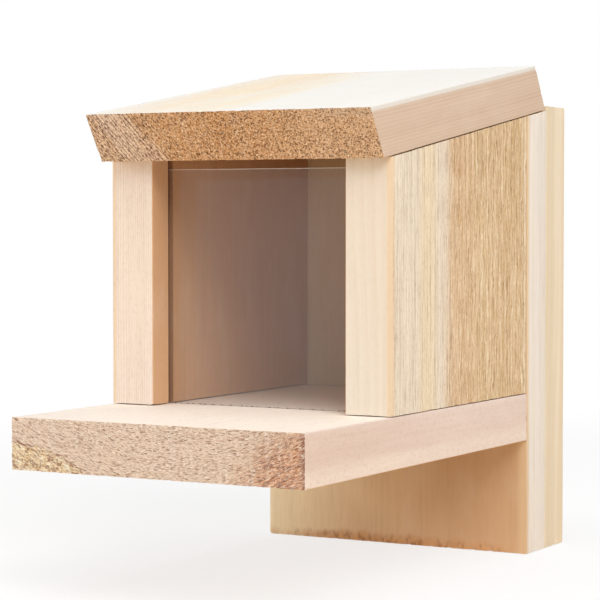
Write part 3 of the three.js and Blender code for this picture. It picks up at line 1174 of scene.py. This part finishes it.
@dataclass
class Board:
    """One wooden board: its place, its cuts, its holes and its wood.

    The ends are planes, each a point and the way out. The grooves are blocks in the part's axes. The
    sawn sides are the signs of the broad faces that stay rough. The arrises are the radii of the long
    edges by the near and the far face. Cells, and how far a chip reaches from an edge, are millimetres.
    A face belongs to an end, or to a broad side, where its normal leans that little from the way out.
    """

    node: str
    name: str
    body: str
    slot: str
    timber: Timber
    place: Matrix
    length: float
    ends: list[tuple[Vector, Vector]] = field(default_factory=list)
    screws: list[Screw] = field(default_factory=list)
    grooves: list[tuple[Vector, Vector]] = field(default_factory=list)
    sawn_sides: tuple[int, ...] = ()
    arrises: Pair = (0.5 * MM, 0.5 * MM)
    arris_steps: int = 4
    pitch: float = 6 * MM
    end_pitch: float = 1.3 * MM
    end_band: float = 4 * MM
    wave: float = 0.05 * MM
    wave_cell: float = 40
    tear: float = 0.22 * MM
    tear_cell: Triple = (1.6, 1.6, 3.0)
    chip: float = 0.7 * MM
    chip_cell: Triple = (3.1, 3.1, 3.1)
    chip_shift: Triple = (0, 0, 7)
    chip_reach: float = 0.4
    chip_floor: float = 0.05
    end_facing: float = 0.75
    side_facing: float = 0.85
    overrun: float = 6 * MM
    far_overrun: float = 18 * MM

    def __post_init__(self) -> None:
        """Adds the two square ends where no other cut is given."""
        along = self.place.to_3x3() @ UP
        start = self.place.to_translation()
        square = [(start, -along), (start + along * self.length, along)]
        self.ends = self.ends or square

    def build(self) -> bpy.types.Object:
        """Makes the board and puts it in the place of its node.

        Returns:
            The board's object.
        """
        board = self._stock()
        for point, normal in self.ends:
            cut_off(board, point, normal)
        self._divide(board)
        if self.screws or self.grooves:
            board = carved(board, self._cutter())
        self._wear(board)
        bmesh.ops.triangulate(board, faces=[face for face in board.faces if len(face.verts) > 4])
        self._sort_faces(board)
        materials = [self.timber.material(self.name, self.place, cut) for cut in Cut]
        return settle(object_of(board, self.name, materials), self.body, self.slot, self.node)

    def _stock(self) -> bmesh.types.BMesh:
        """Cuts a length of rounded stock that runs past both ends.

        Returns:
            The stock's mesh, in the part's axes.
        """
        stock = bmesh.new()
        low = Vector((-STOCK.width / 2, 0, -self.overrun))
        high = Vector((STOCK.width / 2, STOCK.thickness, self.length + self.far_overrun))
        block(stock, low, high)
        long_edges = [edge for edge in stock.edges
                      if abs((edge.verts[0].co - edge.verts[1].co).z) > self.length]
        near = [edge for edge in long_edges if edge.verts[0].co.y < STOCK.thickness / 2]
        far = [edge for edge in long_edges if edge not in near]
        for edges, arris in zip((near, far), self.arrises):
            bmesh.ops.bevel(stock, geom=edges, offset=arris, offset_type="OFFSET", profile=0.5,
                            segments=self.arris_steps, affect="EDGES", material=-1)
        bmesh.ops.transform(stock, matrix=self.place, verts=stock.verts[:])
        return stock

    def _divide(self, board: bmesh.types.BMesh) -> None:
        """Divides the faces, coarsely along the board and finely by its ends.

        Args:
            board: The mesh.
        """
        turn = self.place.to_3x3()
        across, through, along = (turn @ axis for axis in (ACROSS, BACK, UP))
        start = self.place.to_translation()
        inner = Vector((STOCK.width / 2 - max(self.arrises), STOCK.thickness - self.arrises[1], 0))
        for distance in spaced(0, self.length, self.pitch):
            score(board, start + along * distance, along)
        for distance in spaced(-inner.x, inner.x, self.pitch):
            score(board, start + across * distance, across)
        for point, normal in self.ends:
            score(board, point - normal * self.end_band, normal)
            score(board, point - normal * self.end_band / 3, normal)

            def by_end(face: bmesh.types.BMFace) -> bool:
                """True for the end and for the faces of its band."""
                return (face.calc_center_median() - point).dot(normal) > -self.end_band

            for distance in spaced(-inner.x, inner.x, self.end_pitch):
                score(board, start + across * distance, across, by_end)
            for distance in spaced(self.arrises[0], inner.y, self.end_pitch):
                score(board, start + through * distance, through, by_end)

    def _cutter(self) -> bmesh.types.BMesh:
        """Gathers the solids that are taken out of the board: its grooves and screw holes.

        Returns:
            The mesh that holds them.
        """
        cutter = bmesh.new()
        for low, high in self.grooves:
            block(cutter, low, high)
        for screw in self.screws:
            screw.kind.hole(cutter, screw.place, screw.length, self.overrun)
        return cutter

    def _wear(self, board: bmesh.types.BMesh) -> None:
        """Tears the sawn ends, chips their edges and lets the faces wander a little.

        Args:
            board: The mesh.
        """
        board.normal_update()
        back = self.place.inverted()
        moves = []
        for vert in board.verts:
            own = back @ vert.co / MM
            depth = min((point - vert.co).dot(normal) for point, normal in self.ends)
            normal = min(self.ends, key=lambda end: (end[0] - vert.co).dot(end[1]))[1]
            move = vert.normal * (noise.noise(own / self.wave_cell) * self.wave)
            if depth < self.end_band / 2:
                torn = 0.5 + 0.5 * noise.noise(in_cells(own, self.tear_cell))
                fade = 1.0 - depth / (self.end_band / 2)
                move -= normal * (torn * self.tear * fade)
                side = min(STOCK.width / 2 / MM - abs(own.x), own.y, STOCK.thickness / MM - own.y)
                chipped = noise.noise(in_cells(own, self.chip_cell, self.chip_shift))
                nick = max(0.0, chipped - self.chip_floor)
                if side < self.chip_reach:
                    move -= vert.normal * (nick * self.chip * fade)
            moves.append(move)
        for vert, move in zip(board.verts, moves):
            vert.co += move

    def _sort_faces(self, board: bmesh.types.BMesh) -> None:
        """Gives each face the material of its kind of cut.

        Args:
            board: The mesh.
        """
        board.normal_update()
        through = self.place.to_3x3() @ BACK
        for face in board.faces:
            if any(face.normal.dot(normal) > self.end_facing for _, normal in self.ends):
                cut = Cut.END
            elif any(face.normal.dot(through) * side > self.side_facing for side in self.sawn_sides):
                cut = Cut.SAWN
            else:
                cut = Cut.PLANED
            face.material_index = list(Cut).index(cut)


# The pane
@dataclass
class Pane:
    """The clear sheet in the two saw kerfs."""

    finish: ClearSheet
    node: str = "front_pane"
    ease: float = 0.25 * MM
    ease_steps: int = 2
    edge_facing: float = 0.3

    def build(self) -> bpy.types.Object:
        """Makes the pane where its node is.

        Returns:
            The pane's object.
        """
        sheet = bmesh.new()
        low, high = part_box(self.node)
        block(sheet, low, high)
        bmesh.ops.bevel(sheet, geom=sheet.edges[:], offset=self.ease, offset_type="OFFSET",
                        segments=self.ease_steps, profile=0.5, affect="EDGES", material=-1)
        sheet.normal_update()
        for face in sheet.faces:
            face.material_index = 1 if face.normal.z > self.edge_facing else 0
        materials = [self.finish.material(name, edge, low)
                     for name, edge in (("pane_face", False), ("pane_edge", True))]
        return settle(object_of(sheet, "front_pane_sheet", materials), "box", "clear_acrylic", self.node)


# Hinges
@dataclass
class ButtHinge:
    """A small pressed butt hinge: two rolled leaves on a loose pin.

    The knuckle and the pin are radii. The seam is the gap between two knuckles, and between the roll
    and the plate.
    """

    side: str
    lid_turn: float
    material: bpy.types.Material
    length: float = 30 * MM
    leaf_width: float = 16 * MM
    thickness: float = 1.1 * MM
    knuckle: float = 2.25 * MM
    pin: float = 1.0 * MM
    seam: float = 0.3 * MM
    corner: float = 2.5 * MM
    corner_steps: int = 6
    knuckles: int = 3
    curl: float = math.radians(318)
    curl_steps: int = 26
    lip_facing: float = 0.9
    ease: float = 0.12 * MM
    ease_steps: int = 2
    ease_angle: float = math.radians(50)
    dome_share: float = 0.35
    dome_steps: int = 4
    pin_facets: int = 24
    middle: Vector = field(init=False)

    def __post_init__(self) -> None:
        """Finds the pin's middle from the frame."""
        low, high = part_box(f"hinge_pin_{self.side}")
        self.middle = (low + high) / 2

    def build(self, leaf_screws: dict[str, list[Screw]]) -> None:
        """Makes both leaves and the pin.

        Args:
            leaf_screws: This hinge's screws, by leaf.
        """
        self._leaf("board", "box", Matrix.Translation(self.middle), leaf_screws["board"])
        turn = Matrix.Rotation(self.lid_turn, 4, "X") @ Matrix.Rotation(math.pi, 4, "Y")
        self._leaf("lid", "lid", Matrix.Translation(self.middle) @ turn, leaf_screws["lid"])
        self._pin()

    def _leaf(self, leaf: str, body: str, place: Matrix, screws: list[Screw]) -> None:
        """Makes one leaf.

        Args:
            leaf: "board" or "lid".
            body: The body that it rides on.
            place: The leaf's axes in the part's.
            screws: The two screws that go through it.
        """
        node = f"hinge_leaf_{self.side}_{leaf}"
        start = self.knuckle + self.seam
        half = self.length / 2
        plate = bmesh.new()
        block(plate, Vector((-half, start, -self.knuckle)),
              Vector((half, self.leaf_width, self.thickness - self.knuckle)))
        corners = [edge for edge in plate.edges
                   if all(vert.co.y > start + self.seam for vert in edge.verts)
                   and abs((edge.verts[0].co - edge.verts[1].co).z) > self.thickness / 2]
        bmesh.ops.bevel(plate, geom=corners, offset=self.corner, offset_type="OFFSET",
                        segments=self.corner_steps, profile=0.5, affect="EDGES", material=-1)
        pitch = self.length / self.knuckles
        spans = [(index * pitch - half + self.seam / 2, (index + 1) * pitch - half - self.seam / 2)
                 for index in range(self.knuckles) if (index % 2 == 0) == (leaf == "board")]
        for span in spans:
            for edge_of_span in span:
                score(plate, ACROSS * edge_of_span, ACROSS)
        for low, high in spans:
            self._roll(plate, low, high)
        bmesh.ops.transform(plate, matrix=place, verts=plate.verts[:])
        cutter = bmesh.new()
        for screw in screws:
            screw.kind.hole(cutter, screw.place, screw.length, self.thickness)
        made = object_of(carved(plate, cutter), f"{node}_rolled", [self.material])
        ease = made.modifiers.new("ease", "BEVEL")
        ease.width = self.ease
        ease.segments = self.ease_steps
        ease.limit_method = "ANGLE"
        ease.angle_limit = self.ease_angle
        settle(made, body, "zinc_steel", node)

    def _roll(self, plate: bmesh.types.BMesh, low: float, high: float) -> None:
        """Runs a tab out of the plate's edge and rolls it round the pin.

        Args:
            plate: The leaf's plate.
            low: Where the tab starts along the pin.
            high: Where it ends.
        """
        start = self.knuckle + self.seam
        plate.normal_update()
        lip = [face for face in plate.faces
               if face.normal.y < -self.lip_facing and low < face.calc_center_median().x < high
               and abs(face.calc_center_median().y - start) < self.seam / 4]
        tab = bmesh.ops.extrude_face_region(plate, geom=lip)["geom"]
        verts = [item for item in tab if isinstance(item, bmesh.types.BMVert)]
        bmesh.ops.delete(plate, geom=lip, context="FACES")
        bmesh.ops.translate(plate, vec=(0, -start, 0), verts=verts)
        ends = [item for item in tab if isinstance(item, bmesh.types.BMFace)]
        bmesh.ops.spin(plate, geom=ends, cent=(0, 0, 0), axis=(-1, 0, 0), angle=self.curl,
                       steps=self.curl_steps, use_merge=False, use_duplicate=False)
        bmesh.ops.delete(plate, geom=ends, context="FACES")

    def _pin(self) -> None:
        """Makes the pin, with both ends domed."""
        low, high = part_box(f"hinge_pin_{self.side}")
        half = (high - low).x / 2
        dome = self.pin * self.dome_share
        angles = [step * TURN / 4 / self.dome_steps for step in range(self.dome_steps + 1)]
        arc = [(self.pin * math.cos(angle), half - dome + dome * math.sin(angle)) for angle in angles]
        pin = bmesh.new()
        outline = [(radius, -height) for radius, height in reversed(arc)] + arc
        turned_about(pin, outline, self.pin_facets)
        place = Matrix.Translation(self.middle) @ Matrix.Rotation(TURN / 4, 4, "Y")
        bmesh.ops.transform(pin, matrix=place, verts=pin.verts[:])
        made = object_of(pin, f"hinge_pin_{self.side}_domed", [self.material])
        settle(made, "box", "zinc_steel", f"hinge_pin_{self.side}")


# The feeder
FACES = (Cut.PLANED, Cut.SAWN)
PLANED = (Cut.PLANED,)
SAWN = (Cut.SAWN,)
ENDS = (Cut.END,)


def shaded_face(face: float, color: Paint, strength: float = 1.0) -> StainOrLight:
    """A patch of painted shade that tints one broad face of a board and nothing under it."""
    outside = -0.5 if face == 0 else face + 0.5
    return StainOrLight((0, outside, 0), (FAR, 0.9, FAR), color, strength, 0.1, 0.1, PLANED)


ZINC = PlatedSteel(tone(214, 216, 219), tone(172, 176, 182), tone(196, 204, 220))
YELLOW_ZINC = PlatedSteel(tone(214, 190, 128), tone(172, 146, 92), tone(196, 160, 140))
# Its third colour is a painted shadow along the pane's foot.
ACRYLIC = ClearSheet(veil=tone(206, 214, 224), edge=tone(238, 242, 246), foot_shade=tone(104, 68, 44))
PLAIN_END = EndGrain(ground=tone(226, 198, 162), ring=tone(206, 170, 132), pore=tone(132, 96, 66),
                     tuft=tone(248, 230, 200))
LID_WOOD = Timber(
    early=tone(221, 201, 182), late=tone(198, 168, 147), fibre=tone(176, 138, 108),
    end=EndGrain(ground=tone(235, 198, 160), ring=tone(198, 148, 106), pore=tone(98, 48, 20),
                 tuft=tone(255, 235, 208), depth=0.95, grit=1.22, ring_share=0.35, seam_share=0.95,
                 cell=(0.95, 1.40), jolt=0.9, calm=(66, 114)),
    pith=(60, 75), ring=1.6, band=5.0, late_share=0.42, band_share=0.2, drift=1.5,
    stains_and_light=(
        # Painted light: the top face is near-white, as where the light falls strongest.
        StainOrLight((0, 24, 90), (FAR, 4.0, FAR), tone(230, 229, 225), 0.9, 0.3, 0.1, FACES),
        StainOrLight((-8, 11, 170), (36, 60, 60), tone(208, 140, 52), 0.66, 1.3, 0.6, ENDS),
        StainOrLight((-44, 24, 60), (22, 5.0, 130), tone(232, 208, 168), 0.62, 1.3, 1.2, FACES, 0.35,
              (0.9, 1.6), dark=tone(206, 160, 112), pale=tone(236, 226, 206)),
        StainOrLight((-14, 24, 140), (12, 5.0, 90), tone(232, 214, 178), 0.55, 1.3, 0.9, FACES),
    ),
    bands=(
        Band(56, 121, tone(230, 178, 122), 0.65, 5.0),
        Band(121, 138, tone(250, 226, 206), 0.95, 5.0),
    ),
)
PLATFORM_WOOD = Timber(
    early=tone(240, 224, 206), late=tone(226, 202, 184), fibre=tone(196, 160, 138),
    end=EndGrain(ground=tone(234, 213, 191), ring=tone(212, 180, 158), pore=tone(146, 90, 60),
                 tuft=tone(255, 247, 236), depth=0.80, dent=0.24, grit=1.02, ring_share=0.45,
                 seam_share=0.65, cell=(0.56, 2.9), jolt=0.5, calm=(25, 70)),
    pith=(5, 165), ring=2.6, band=7.0, late_share=0.3, band_share=0.25, drift=2.5, streak=0.28,
    mottle=6.0, seed=0.4,
    stains_and_light=(
        # Painted light: the top face is paler and whiter, as where the light falls strongest.
        StainOrLight((0, 24, 90), (FAR, 4.0, FAR), tone(247, 236, 223), 0.9, 0.3, 0.1, FACES),
        StainOrLight((-66, 24, 190), (38, 4.0, 90), tone(226, 217, 208), 0.5, 1.3, 0.6, FACES),
        StainOrLight((71, 13, 100), (2.5, 16, FAR), tone(231, 213, 206), 0.75, 0.6, 0.5, FACES),
        StainOrLight((71, 0, 100), (3, 7, FAR), tone(246, 234, 224), 0.7, 0.9, 0.6, FACES),
        StainOrLight((71, 17, 214), (3, 11, 90), tone(214, 190, 172), 0.4, 1.3, 0.5, FACES),
        StainOrLight((76, -4, 214), (32, 26, 60), tone(201, 132, 80), 0.95, 0.8, 0.6, ENDS, 1.0,
              (0.85, 3.2), dark=tone(110, 52, 32), pale=tone(236, 190, 154)),
        # Painted shade: a dark line down the right edge of the front end, for the shadow of its torn arris.
        StainOrLight((71.5, 11, 214), (3.0, 16, 60), tone(116, 62, 42), 0.85, 0.8, 0.9, ENDS),
        StainOrLight((-76, -7, 214), (45, 18.5, 60), tone(248, 224, 170), 0.95, 0.12, 0.22, ENDS, 0.9,
              (1.6, 2.4), dark=tone(128, 80, 38), pale=tone(255, 250, 226), rim=0.9),
    ),
)
SIDE_WOOD = Timber(
    early=tone(231, 221, 206), late=tone(211, 190, 166), fibre=tone(160, 128, 94),
    end=PLAIN_END,
    pith=(-160, 30), ring=1.15, band=7.0, late_share=0.22, band_share=0.15, drift=2.0, seed=0.8,
    stains_and_light=(
        StainOrLight((0, 0, 60), (FAR, FAR, FAR), tone(240, 231, 216), 0.7, 0.5, 0.0, SAWN),
        StainOrLight((-36, 0, 60), (7, 60, FAR), tone(240, 225, 192), 0.75, 1.3, 0.5, SAWN),
        StainOrLight((40, 0, 60), (54, 60, FAR), tone(223, 192, 146), 0.95, 0.30, 0.22, SAWN),
        StainOrLight((52, 0, 60), (14, 60, FAR), tone(211, 175, 126), 0.55, 1.2, 0.5, SAWN),
        StainOrLight((-3, 0, 60), (13, 60, FAR), tone(216, 176, 138), 0.55, 1.2, 0.6, SAWN),
        StainOrLight((75, 0, 60), (9, 60, FAR), tone(244, 226, 198), 0.95, 0.5, 0.3, SAWN),
    ),
)
LEFT_WOOD = replace(SIDE_WOOD, early=tone(238, 224, 211), late=tone(213, 187, 163), pith=(-60, 150),
                    late_share=0.45, streak=0.35, saw_streak=0.6, seed=1.1)
BACK_WOOD = Timber(
    early=tone(245, 242, 238), late=tone(236, 227, 214), fibre=tone(176, 138, 100),
    end=PLAIN_END,
    pith=(20, -70), ring=3.2, band=5.0, late_share=0.3, band_share=0.5, drift=4.0, streak=0.45,
    mottle=0.6, seed=1.3,
    stains_and_light=(
        # Painted shade: the front face is darker and warmer, as under the ledge and inside the box.
        shaded_face(0, tone(220, 183, 132), 0.84),
        # Paler towards the left of the front face: partly the wood's own tone, partly painted light from the
        # left.
        StainOrLight((-84, 0, 20), (44, 2.5, 140), tone(255, 240, 205), 1.0, 1.4, 0.4, PLANED),
        # Painted shade: darker towards the right of the front face.
        StainOrLight((48, 0, 30), (34, 2.5, 60), tone(200, 160, 124), 0.7, 1.5, 0.5, PLANED),
        StainOrLight((71, 0, 30), (5, 2.5, FAR), tone(228, 202, 164), 0.5, 0.9, 0.4, PLANED),
        StainOrLight((-8, 0, 0), (60, 1.5, 3.8), tone(200, 142, 88), 0.65, 1.2, 2.2, PLANED, 0.75,
              (2.1, 2.1), dark=tone(146, 90, 46), pale=tone(226, 174, 118)),
    ),
)
MOUNT_WOOD = Timber(
    early=tone(248, 238, 218), late=tone(232, 212, 176), fibre=tone(190, 160, 120),
    end=PLAIN_END,
    pith=(-30, 80), ring=3.6, band=8.0, late_share=0.4, band_share=0.5, drift=4.0, seed=1.9,
    stains_and_light=(
        StainOrLight((70, 0, 100), (40, 11, FAR), tone(226, 212, 185), 0.8, 1.1, 0.3, FACES),
    ),
)


@dataclass
class Feeder:
    """The whole feeder: box, lid, hinges and screws.

    The slope is the roof's. The end bevel is how far both ends of the lid lean forward from square.
    The front arris is the worn outer edge of each side panel.
    """

    slope: float = math.radians(9)
    end_bevel: float = math.radians(22.5)
    lid_length: float = 170 * MM
    kerf_depth: float = 6.5 * MM
    kerf_ease: float = 0.4 * MM
    overrun: float = 6 * MM
    arris: float = 0.5 * MM
    front_arris: float = 1.8 * MM
    roof: Vector = field(init=False)
    lid_end: Vector = field(init=False)
    floor_screws: list[Screw] = field(init=False)
    inner_screws: list[Screw] = field(init=False)
    rear_screws: list[Screw] = field(init=False)
    platform_screws: list[Screw] = field(init=False)
    mounting_screws: list[Screw] = field(init=False)
    leaf_screws: dict[str, list[Screw]] = field(init=False)

    def __post_init__(self) -> None:
        """Works out the slants and finds every screw's place in the frame."""
        self.roof = Vector((0, -math.sin(self.slope), math.cos(self.slope)))
        self.lid_end = Matrix.Rotation(self.slope + self.end_bevel, 3, "X") @ BACK
        heights = ("low", "high")
        self.floor_screws = self._screws("floor_screw_{0}_{1}", DECK, -UP, ("front", "rear"))
        self.rear_screws = self._screws("rear_screw_{0}_{1}", DECK, BACK, heights)
        self.platform_screws = self._screws("platform_screw_{0}", DECK, BACK, ("",))
        self.inner_screws = self.rear_screws + self.platform_screws
        self.mounting_screws = self._screws("mounting_screw_{0}_{1}", DECK, BACK, heights)
        self.leaf_screws = {
            leaf: self._screws(f"hinge_screw_{{0}}_{leaf}_{{1}}", SMALL, outward, ("outer", "inner"))
            for leaf, outward in (("board", UP), ("lid", self.lid_end))
        }

    def _screws(self, nodes: str, kind: ScrewKind, outward: Vector, places: tuple[str, ...]) -> list[Screw]:
        """One set of screws. In their nodes' names {0} is the side and {1} the place."""
        return [Screw(nodes.format(side, place), kind, outward) for side in SIDES for place in places]

    def build(self) -> None:
        """Builds every piece in order, from the platform up."""
        self._platform().build()
        for side in SIDES:
            self._side_panel(side).build()
        through_both = self.inner_screws + self.mounting_screws
        self._back("inner_back_board", BACK_WOOD, through_both, self.roof).build()
        held = self.mounting_screws + self.leaf_screws["board"]
        self._back("mounting_board", MOUNT_WOOD, held, UP).build()
        self._lid().build()
        Pane(ACRYLIC).build()
        leaf_finish = ZINC.material("hinge_plating")
        for side in SIDES:
            hinge = ButtHinge(side, TURN / 4 + self.slope + self.end_bevel, leaf_finish)
            hinge.build({leaf: [screw for screw in screws if side in screw.node]
                         for leaf, screws in self.leaf_screws.items()})
        tray = ScrewBox(YELLOW_ZINC, ZINC)
        for screw in self.floor_screws + self.inner_screws + self.mounting_screws:
            tray.drive(screw, "box", "coated_steel")
        for leaf, screws in self.leaf_screws.items():
            for screw in screws:
                tray.drive(screw, "box" if leaf == "board" else "lid", "zinc_steel")

    def _platform(self) -> Board:
        """Lays out the floor board, which runs on forward as a ledge.

        Returns:
            The board.
        """
        low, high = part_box("platform")
        place = axes(Vector((0, high.y, low.z)), ACROSS, UP, Vector((0, -1, 0)))
        return Board("platform", "platform_board", "box", "platform_wood", PLATFORM_WOOD, place,
                     (high - low).y, screws=self.floor_screws + self.platform_screws)

    def _side_panel(self, side: str) -> Board:
        """Lays out a side panel, cut along the roof's slope and grooved for the pane.

        Args:
            side: "left" or "right".

        Returns:
            The board.
        """
        node = f"side_panel_{side}"
        right = side == "right"
        low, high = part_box(node)
        pane_low, pane_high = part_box("front_pane")
        place = axes(Vector((high.x, (low.y + high.y) / 2, low.z)), BACK, Vector((-1, 0, 0)), UP)
        inner = low.x if right else high.x
        groove = (
            Vector((inner - self.kerf_depth, pane_low.y - self.kerf_ease, low.z - self.overrun)),
            Vector((inner + self.kerf_depth, pane_high.y + self.kerf_ease, high.z + self.overrun)),
        )
        ends = [(Vector(low), -UP), (Vector((0, high.y, high.z)), self.roof)]
        held = [screw for screw in self.floor_screws + self.rear_screws if side in screw.node]
        kerf = ((pane_low.y + pane_high.y) / 2 - place.translation.y) / MM
        return Board(
            node, f"side_board_{side}", "box", "side_wood", self._panel_wood(right, kerf), place,
            (high - low).z, ends=ends, screws=held, grooves=[groove],
            sawn_sides=(-1,) if right else (1,),
            arrises=(self.front_arris, self.arris) if right else (self.arris, self.front_arris),
        )

    def _panel_wood(self, right: bool, kerf: float) -> Timber:
        """Adds painted shade to a side panel's wood, on its inner face and in its kerf, and a warm tan strip
        along its outer front edge.

        Args:
            right: True for the right panel.
            kerf: Where the kerf's middle lies across the board, in millimetres.

        Returns:
            The wood.
        """
        wood = SIDE_WOOD if right else LEFT_WOOD
        edge = -STOCK.width / MM / 2
        inner_face = STOCK.thickness / MM if right else 0.0
        outer_face = STOCK.thickness / MM - inner_face
        return replace(wood, stains_and_light=(
            *wood.stains_and_light,
            # Painted shade: the inner face is darker and more orange, as inside the box.
            shaded_face(inner_face, tone(215, 165, 119), 0.85),
            StainOrLight((edge, outer_face, 0), (2.4, 2.4, FAR), tone(230, 200, 158), 0.55, 0.7, 0.3, FACES),
            # Painted shade in the kerf: brown over all of it, and a dark line by its front lip.
            StainOrLight((kerf, inner_face, 0), (1.9, 7.4, FAR), tone(186, 128, 82), 0.9, 0.1, 0.1),
            StainOrLight((kerf - 1.4, inner_face, 0), (0.8, 7.4, FAR), tone(96, 54, 30), 0.9, 0.2, 0.1),
        ))

    def _back(self, node: str, timber: Timber, screws: list[Screw], top: Vector) -> Board:
        """Lays out one of the two upright boards at the back.

        Args:
            node: Its node.
            timber: Its wood.
            screws: The screws through it.
            top: The way that its top end faces.

        Returns:
            The board.
        """
        low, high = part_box(node)
        place = axes(Vector((0, low.y, low.z)), ACROSS, BACK, UP)
        ends = [(Vector(low), -UP), (Vector((0, high.y, high.z)), top)]
        return Board(node, f"{node}_sawn", "box", "back_wood", timber, place, (high - low).z,
                     ends=ends, screws=screws)

    def _lid(self) -> Board:
        """Lays out the lid, both ends of which lean forward.

        Returns:
            The board.
        """
        low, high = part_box("lid")
        rear = Vector((0, high.y, low.z + self.lid_length * math.sin(self.slope)))
        along = Vector((0, -math.cos(self.slope), -math.sin(self.slope)))
        place = axes(rear, ACROSS, self.roof, along)
        ends = [(rear, self.lid_end), (rear + along * self.lid_length, -self.lid_end)]
        return Board("lid", "lid_board", "lid", "lid_wood", LID_WOOD, place, self.lid_length,
                     ends=ends, screws=self.leaf_screws["lid"])


# The stage
@dataclass(frozen=True)
class Lamp:
    """A soft square lamp that faces the object, its size in metres and its power in watts."""

    name: str
    place: Triple
    size: float
    power: float

    def hang(self) -> None:
        """Hangs the lamp in the scene."""
        lamp = bpy.data.lights.new(self.name, "AREA")
        lamp.size = self.size
        lamp.energy = self.power
        lamp.color = (1, 1, 1)
        made = bpy.data.objects.new(self.name, lamp)
        made.location = self.place
        middle = (cad_box[0] + cad_box[1]) / 2
        made.rotation_mode = "QUATERNION"
        made.rotation_quaternion = (middle - Vector(self.place)).to_track_quat("-Z", "Y")
        bpy.context.scene.collection.objects.link(made)


@dataclass
class Stage:
    """Floor, light and camera.

    The shadow reach is where the floor's own shade starts to fade to white, and where it is gone, in
    millimetres from the middle. The sky is the strength of the world's light. The bounce is the
    floor's colour as the object's underside sees it.
    """

    camera_place: Triple = (0.4811, -0.9934, 0.0544)
    azimuth: float = math.radians(29.35)
    elevation: float = math.radians(2.24)
    focal_pixels: float = 2191.46
    picture_pixels: float = 600
    sensor: float = 36.0
    clip: Pair = (0.01, 100)
    floor_size: float = 12.0
    floor_gap: float = 0.1 * MM
    floor_share: float = 0.72
    floor_roughness: float = 0.9
    floor_gloss: float = 0.1
    cloud_grain: Grain = Grain((400, 400, 400))
    cloud_share: float = 0.04
    white: tuple[Paint, Paint] = (tone(246, 246, 246), tone(238, 238, 238))
    bounce: tuple[Paint, Paint] = (tone(240, 218, 192), tone(232, 210, 184))
    shadow_reach: Pair = (350, 750)
    sky: float = 0.37
    lamps: tuple[Lamp, ...] = (
        Lamp("key", (1.42, -1.30, 1.70), 1.6, 42.3),
        Lamp("fill", (-1.80, -1.10, 0.50), 0.8, 16.3),
        Lamp("top", (0.0, -0.50, 2.20), 1.4, 13.4),
    )

    def build(self) -> None:
        """Sets up the floor, the light and the camera."""
        self._camera()
        self._world()
        self._floor()
        for lamp in self.lamps:
            lamp.hang()
        bpy.context.scene.view_settings.view_transform = "Standard"

    def _camera(self) -> None:
        """Puts the camera at the photograph's angle."""
        camera = bpy.data.cameras.new("camera")
        camera.sensor_width = self.sensor
        camera.lens = self.focal_pixels * self.sensor / self.picture_pixels
        camera.clip_start, camera.clip_end = self.clip
        back = Vector((math.sin(self.azimuth) * math.cos(self.elevation),
                       -math.cos(self.azimuth) * math.cos(self.elevation), math.sin(self.elevation)))
        eye = bpy.data.objects.new("camera", camera)
        eye.location = self.camera_place
        eye.rotation_mode = "QUATERNION"
        eye.rotation_quaternion = (-back).to_track_quat("-Z", "Y")
        bpy.context.scene.collection.objects.link(eye)
        bpy.context.scene.camera = eye

    def _seen(self, graph: Graph) -> Wire:
        """A wire that is 1 for what the eye sees, also in gloss or through a pane.

        Args:
            graph: The tree of the floor or of the world.

        Returns:
            The wire.
        """
        rays = graph.node("ShaderNodeLightPath").outputs
        seen = Wire(graph, rays["Is Camera Ray"])
        for name in ("Is Glossy Ray", "Is Transmission Ray"):
            seen = seen.larger(Wire(graph, rays[name]))
        return seen

    def _world(self) -> None:
        """Gives the world its soft light, and white to look at."""
        world = bpy.data.worlds.new("sky")
        graph = Graph(world)
        strength = graph.out(0, "ShaderNodeMapRange", None, {
            "Value": self._seen(graph), "To Min": self.sky, "To Max": 1.0,
        })
        light = graph.out(0, "ShaderNodeBackground", None, {"Color": (1, 1, 1, 1), "Strength": strength})
        graph.node("ShaderNodeOutputWorld", inputs={"Surface": light})
        bpy.context.scene.world = world

    def _floor(self) -> None:
        """Lays a pale floor that keeps the object's shadow."""
        graph = Graph(bpy.data.materials.new("floor_paint"))
        point = graph.place(Matrix.Identity(4))
        cloud = graph.noise(point, self.cloud_grain)
        white, bounce = (graph.principled({
            "Base Color": graph.mix(cloud * self.cloud_share, *tones),
            "Roughness": self.floor_roughness,
            "Specular IOR Level": self.floor_gloss,
        }) for tones in (self.white, self.bounce))
        glow = graph.out(0, "ShaderNodeEmission", inputs={"Strength": 1.0})
        distance = graph.out("Value", "ShaderNodeVectorMath", {"operation": "LENGTH"}, {0: point})
        far = distance.ramp(*self.shadow_reach)
        shown = graph.blended(self.floor_share + far * (1 - self.floor_share), white, glow)
        paint = graph.blended(self._seen(graph), bounce, shown)
        bm = bmesh.new()
        bmesh.ops.create_grid(bm, x_segments=1, y_segments=1, size=self.floor_size / 2)
        bmesh.ops.translate(bm, vec=(0, 0, cad_box[0].z - self.floor_gap), verts=bm.verts[:])
        object_of(bm, "floor", [graph.finish(paint)])


def main() -> None:
    """Builds the stage and the feeder."""
    logging.basicConfig(level=logging.INFO, format="%(name)s: %(message)s")
    Stage().build()
    Feeder().build()


if __name__ == "__main__":
    main()
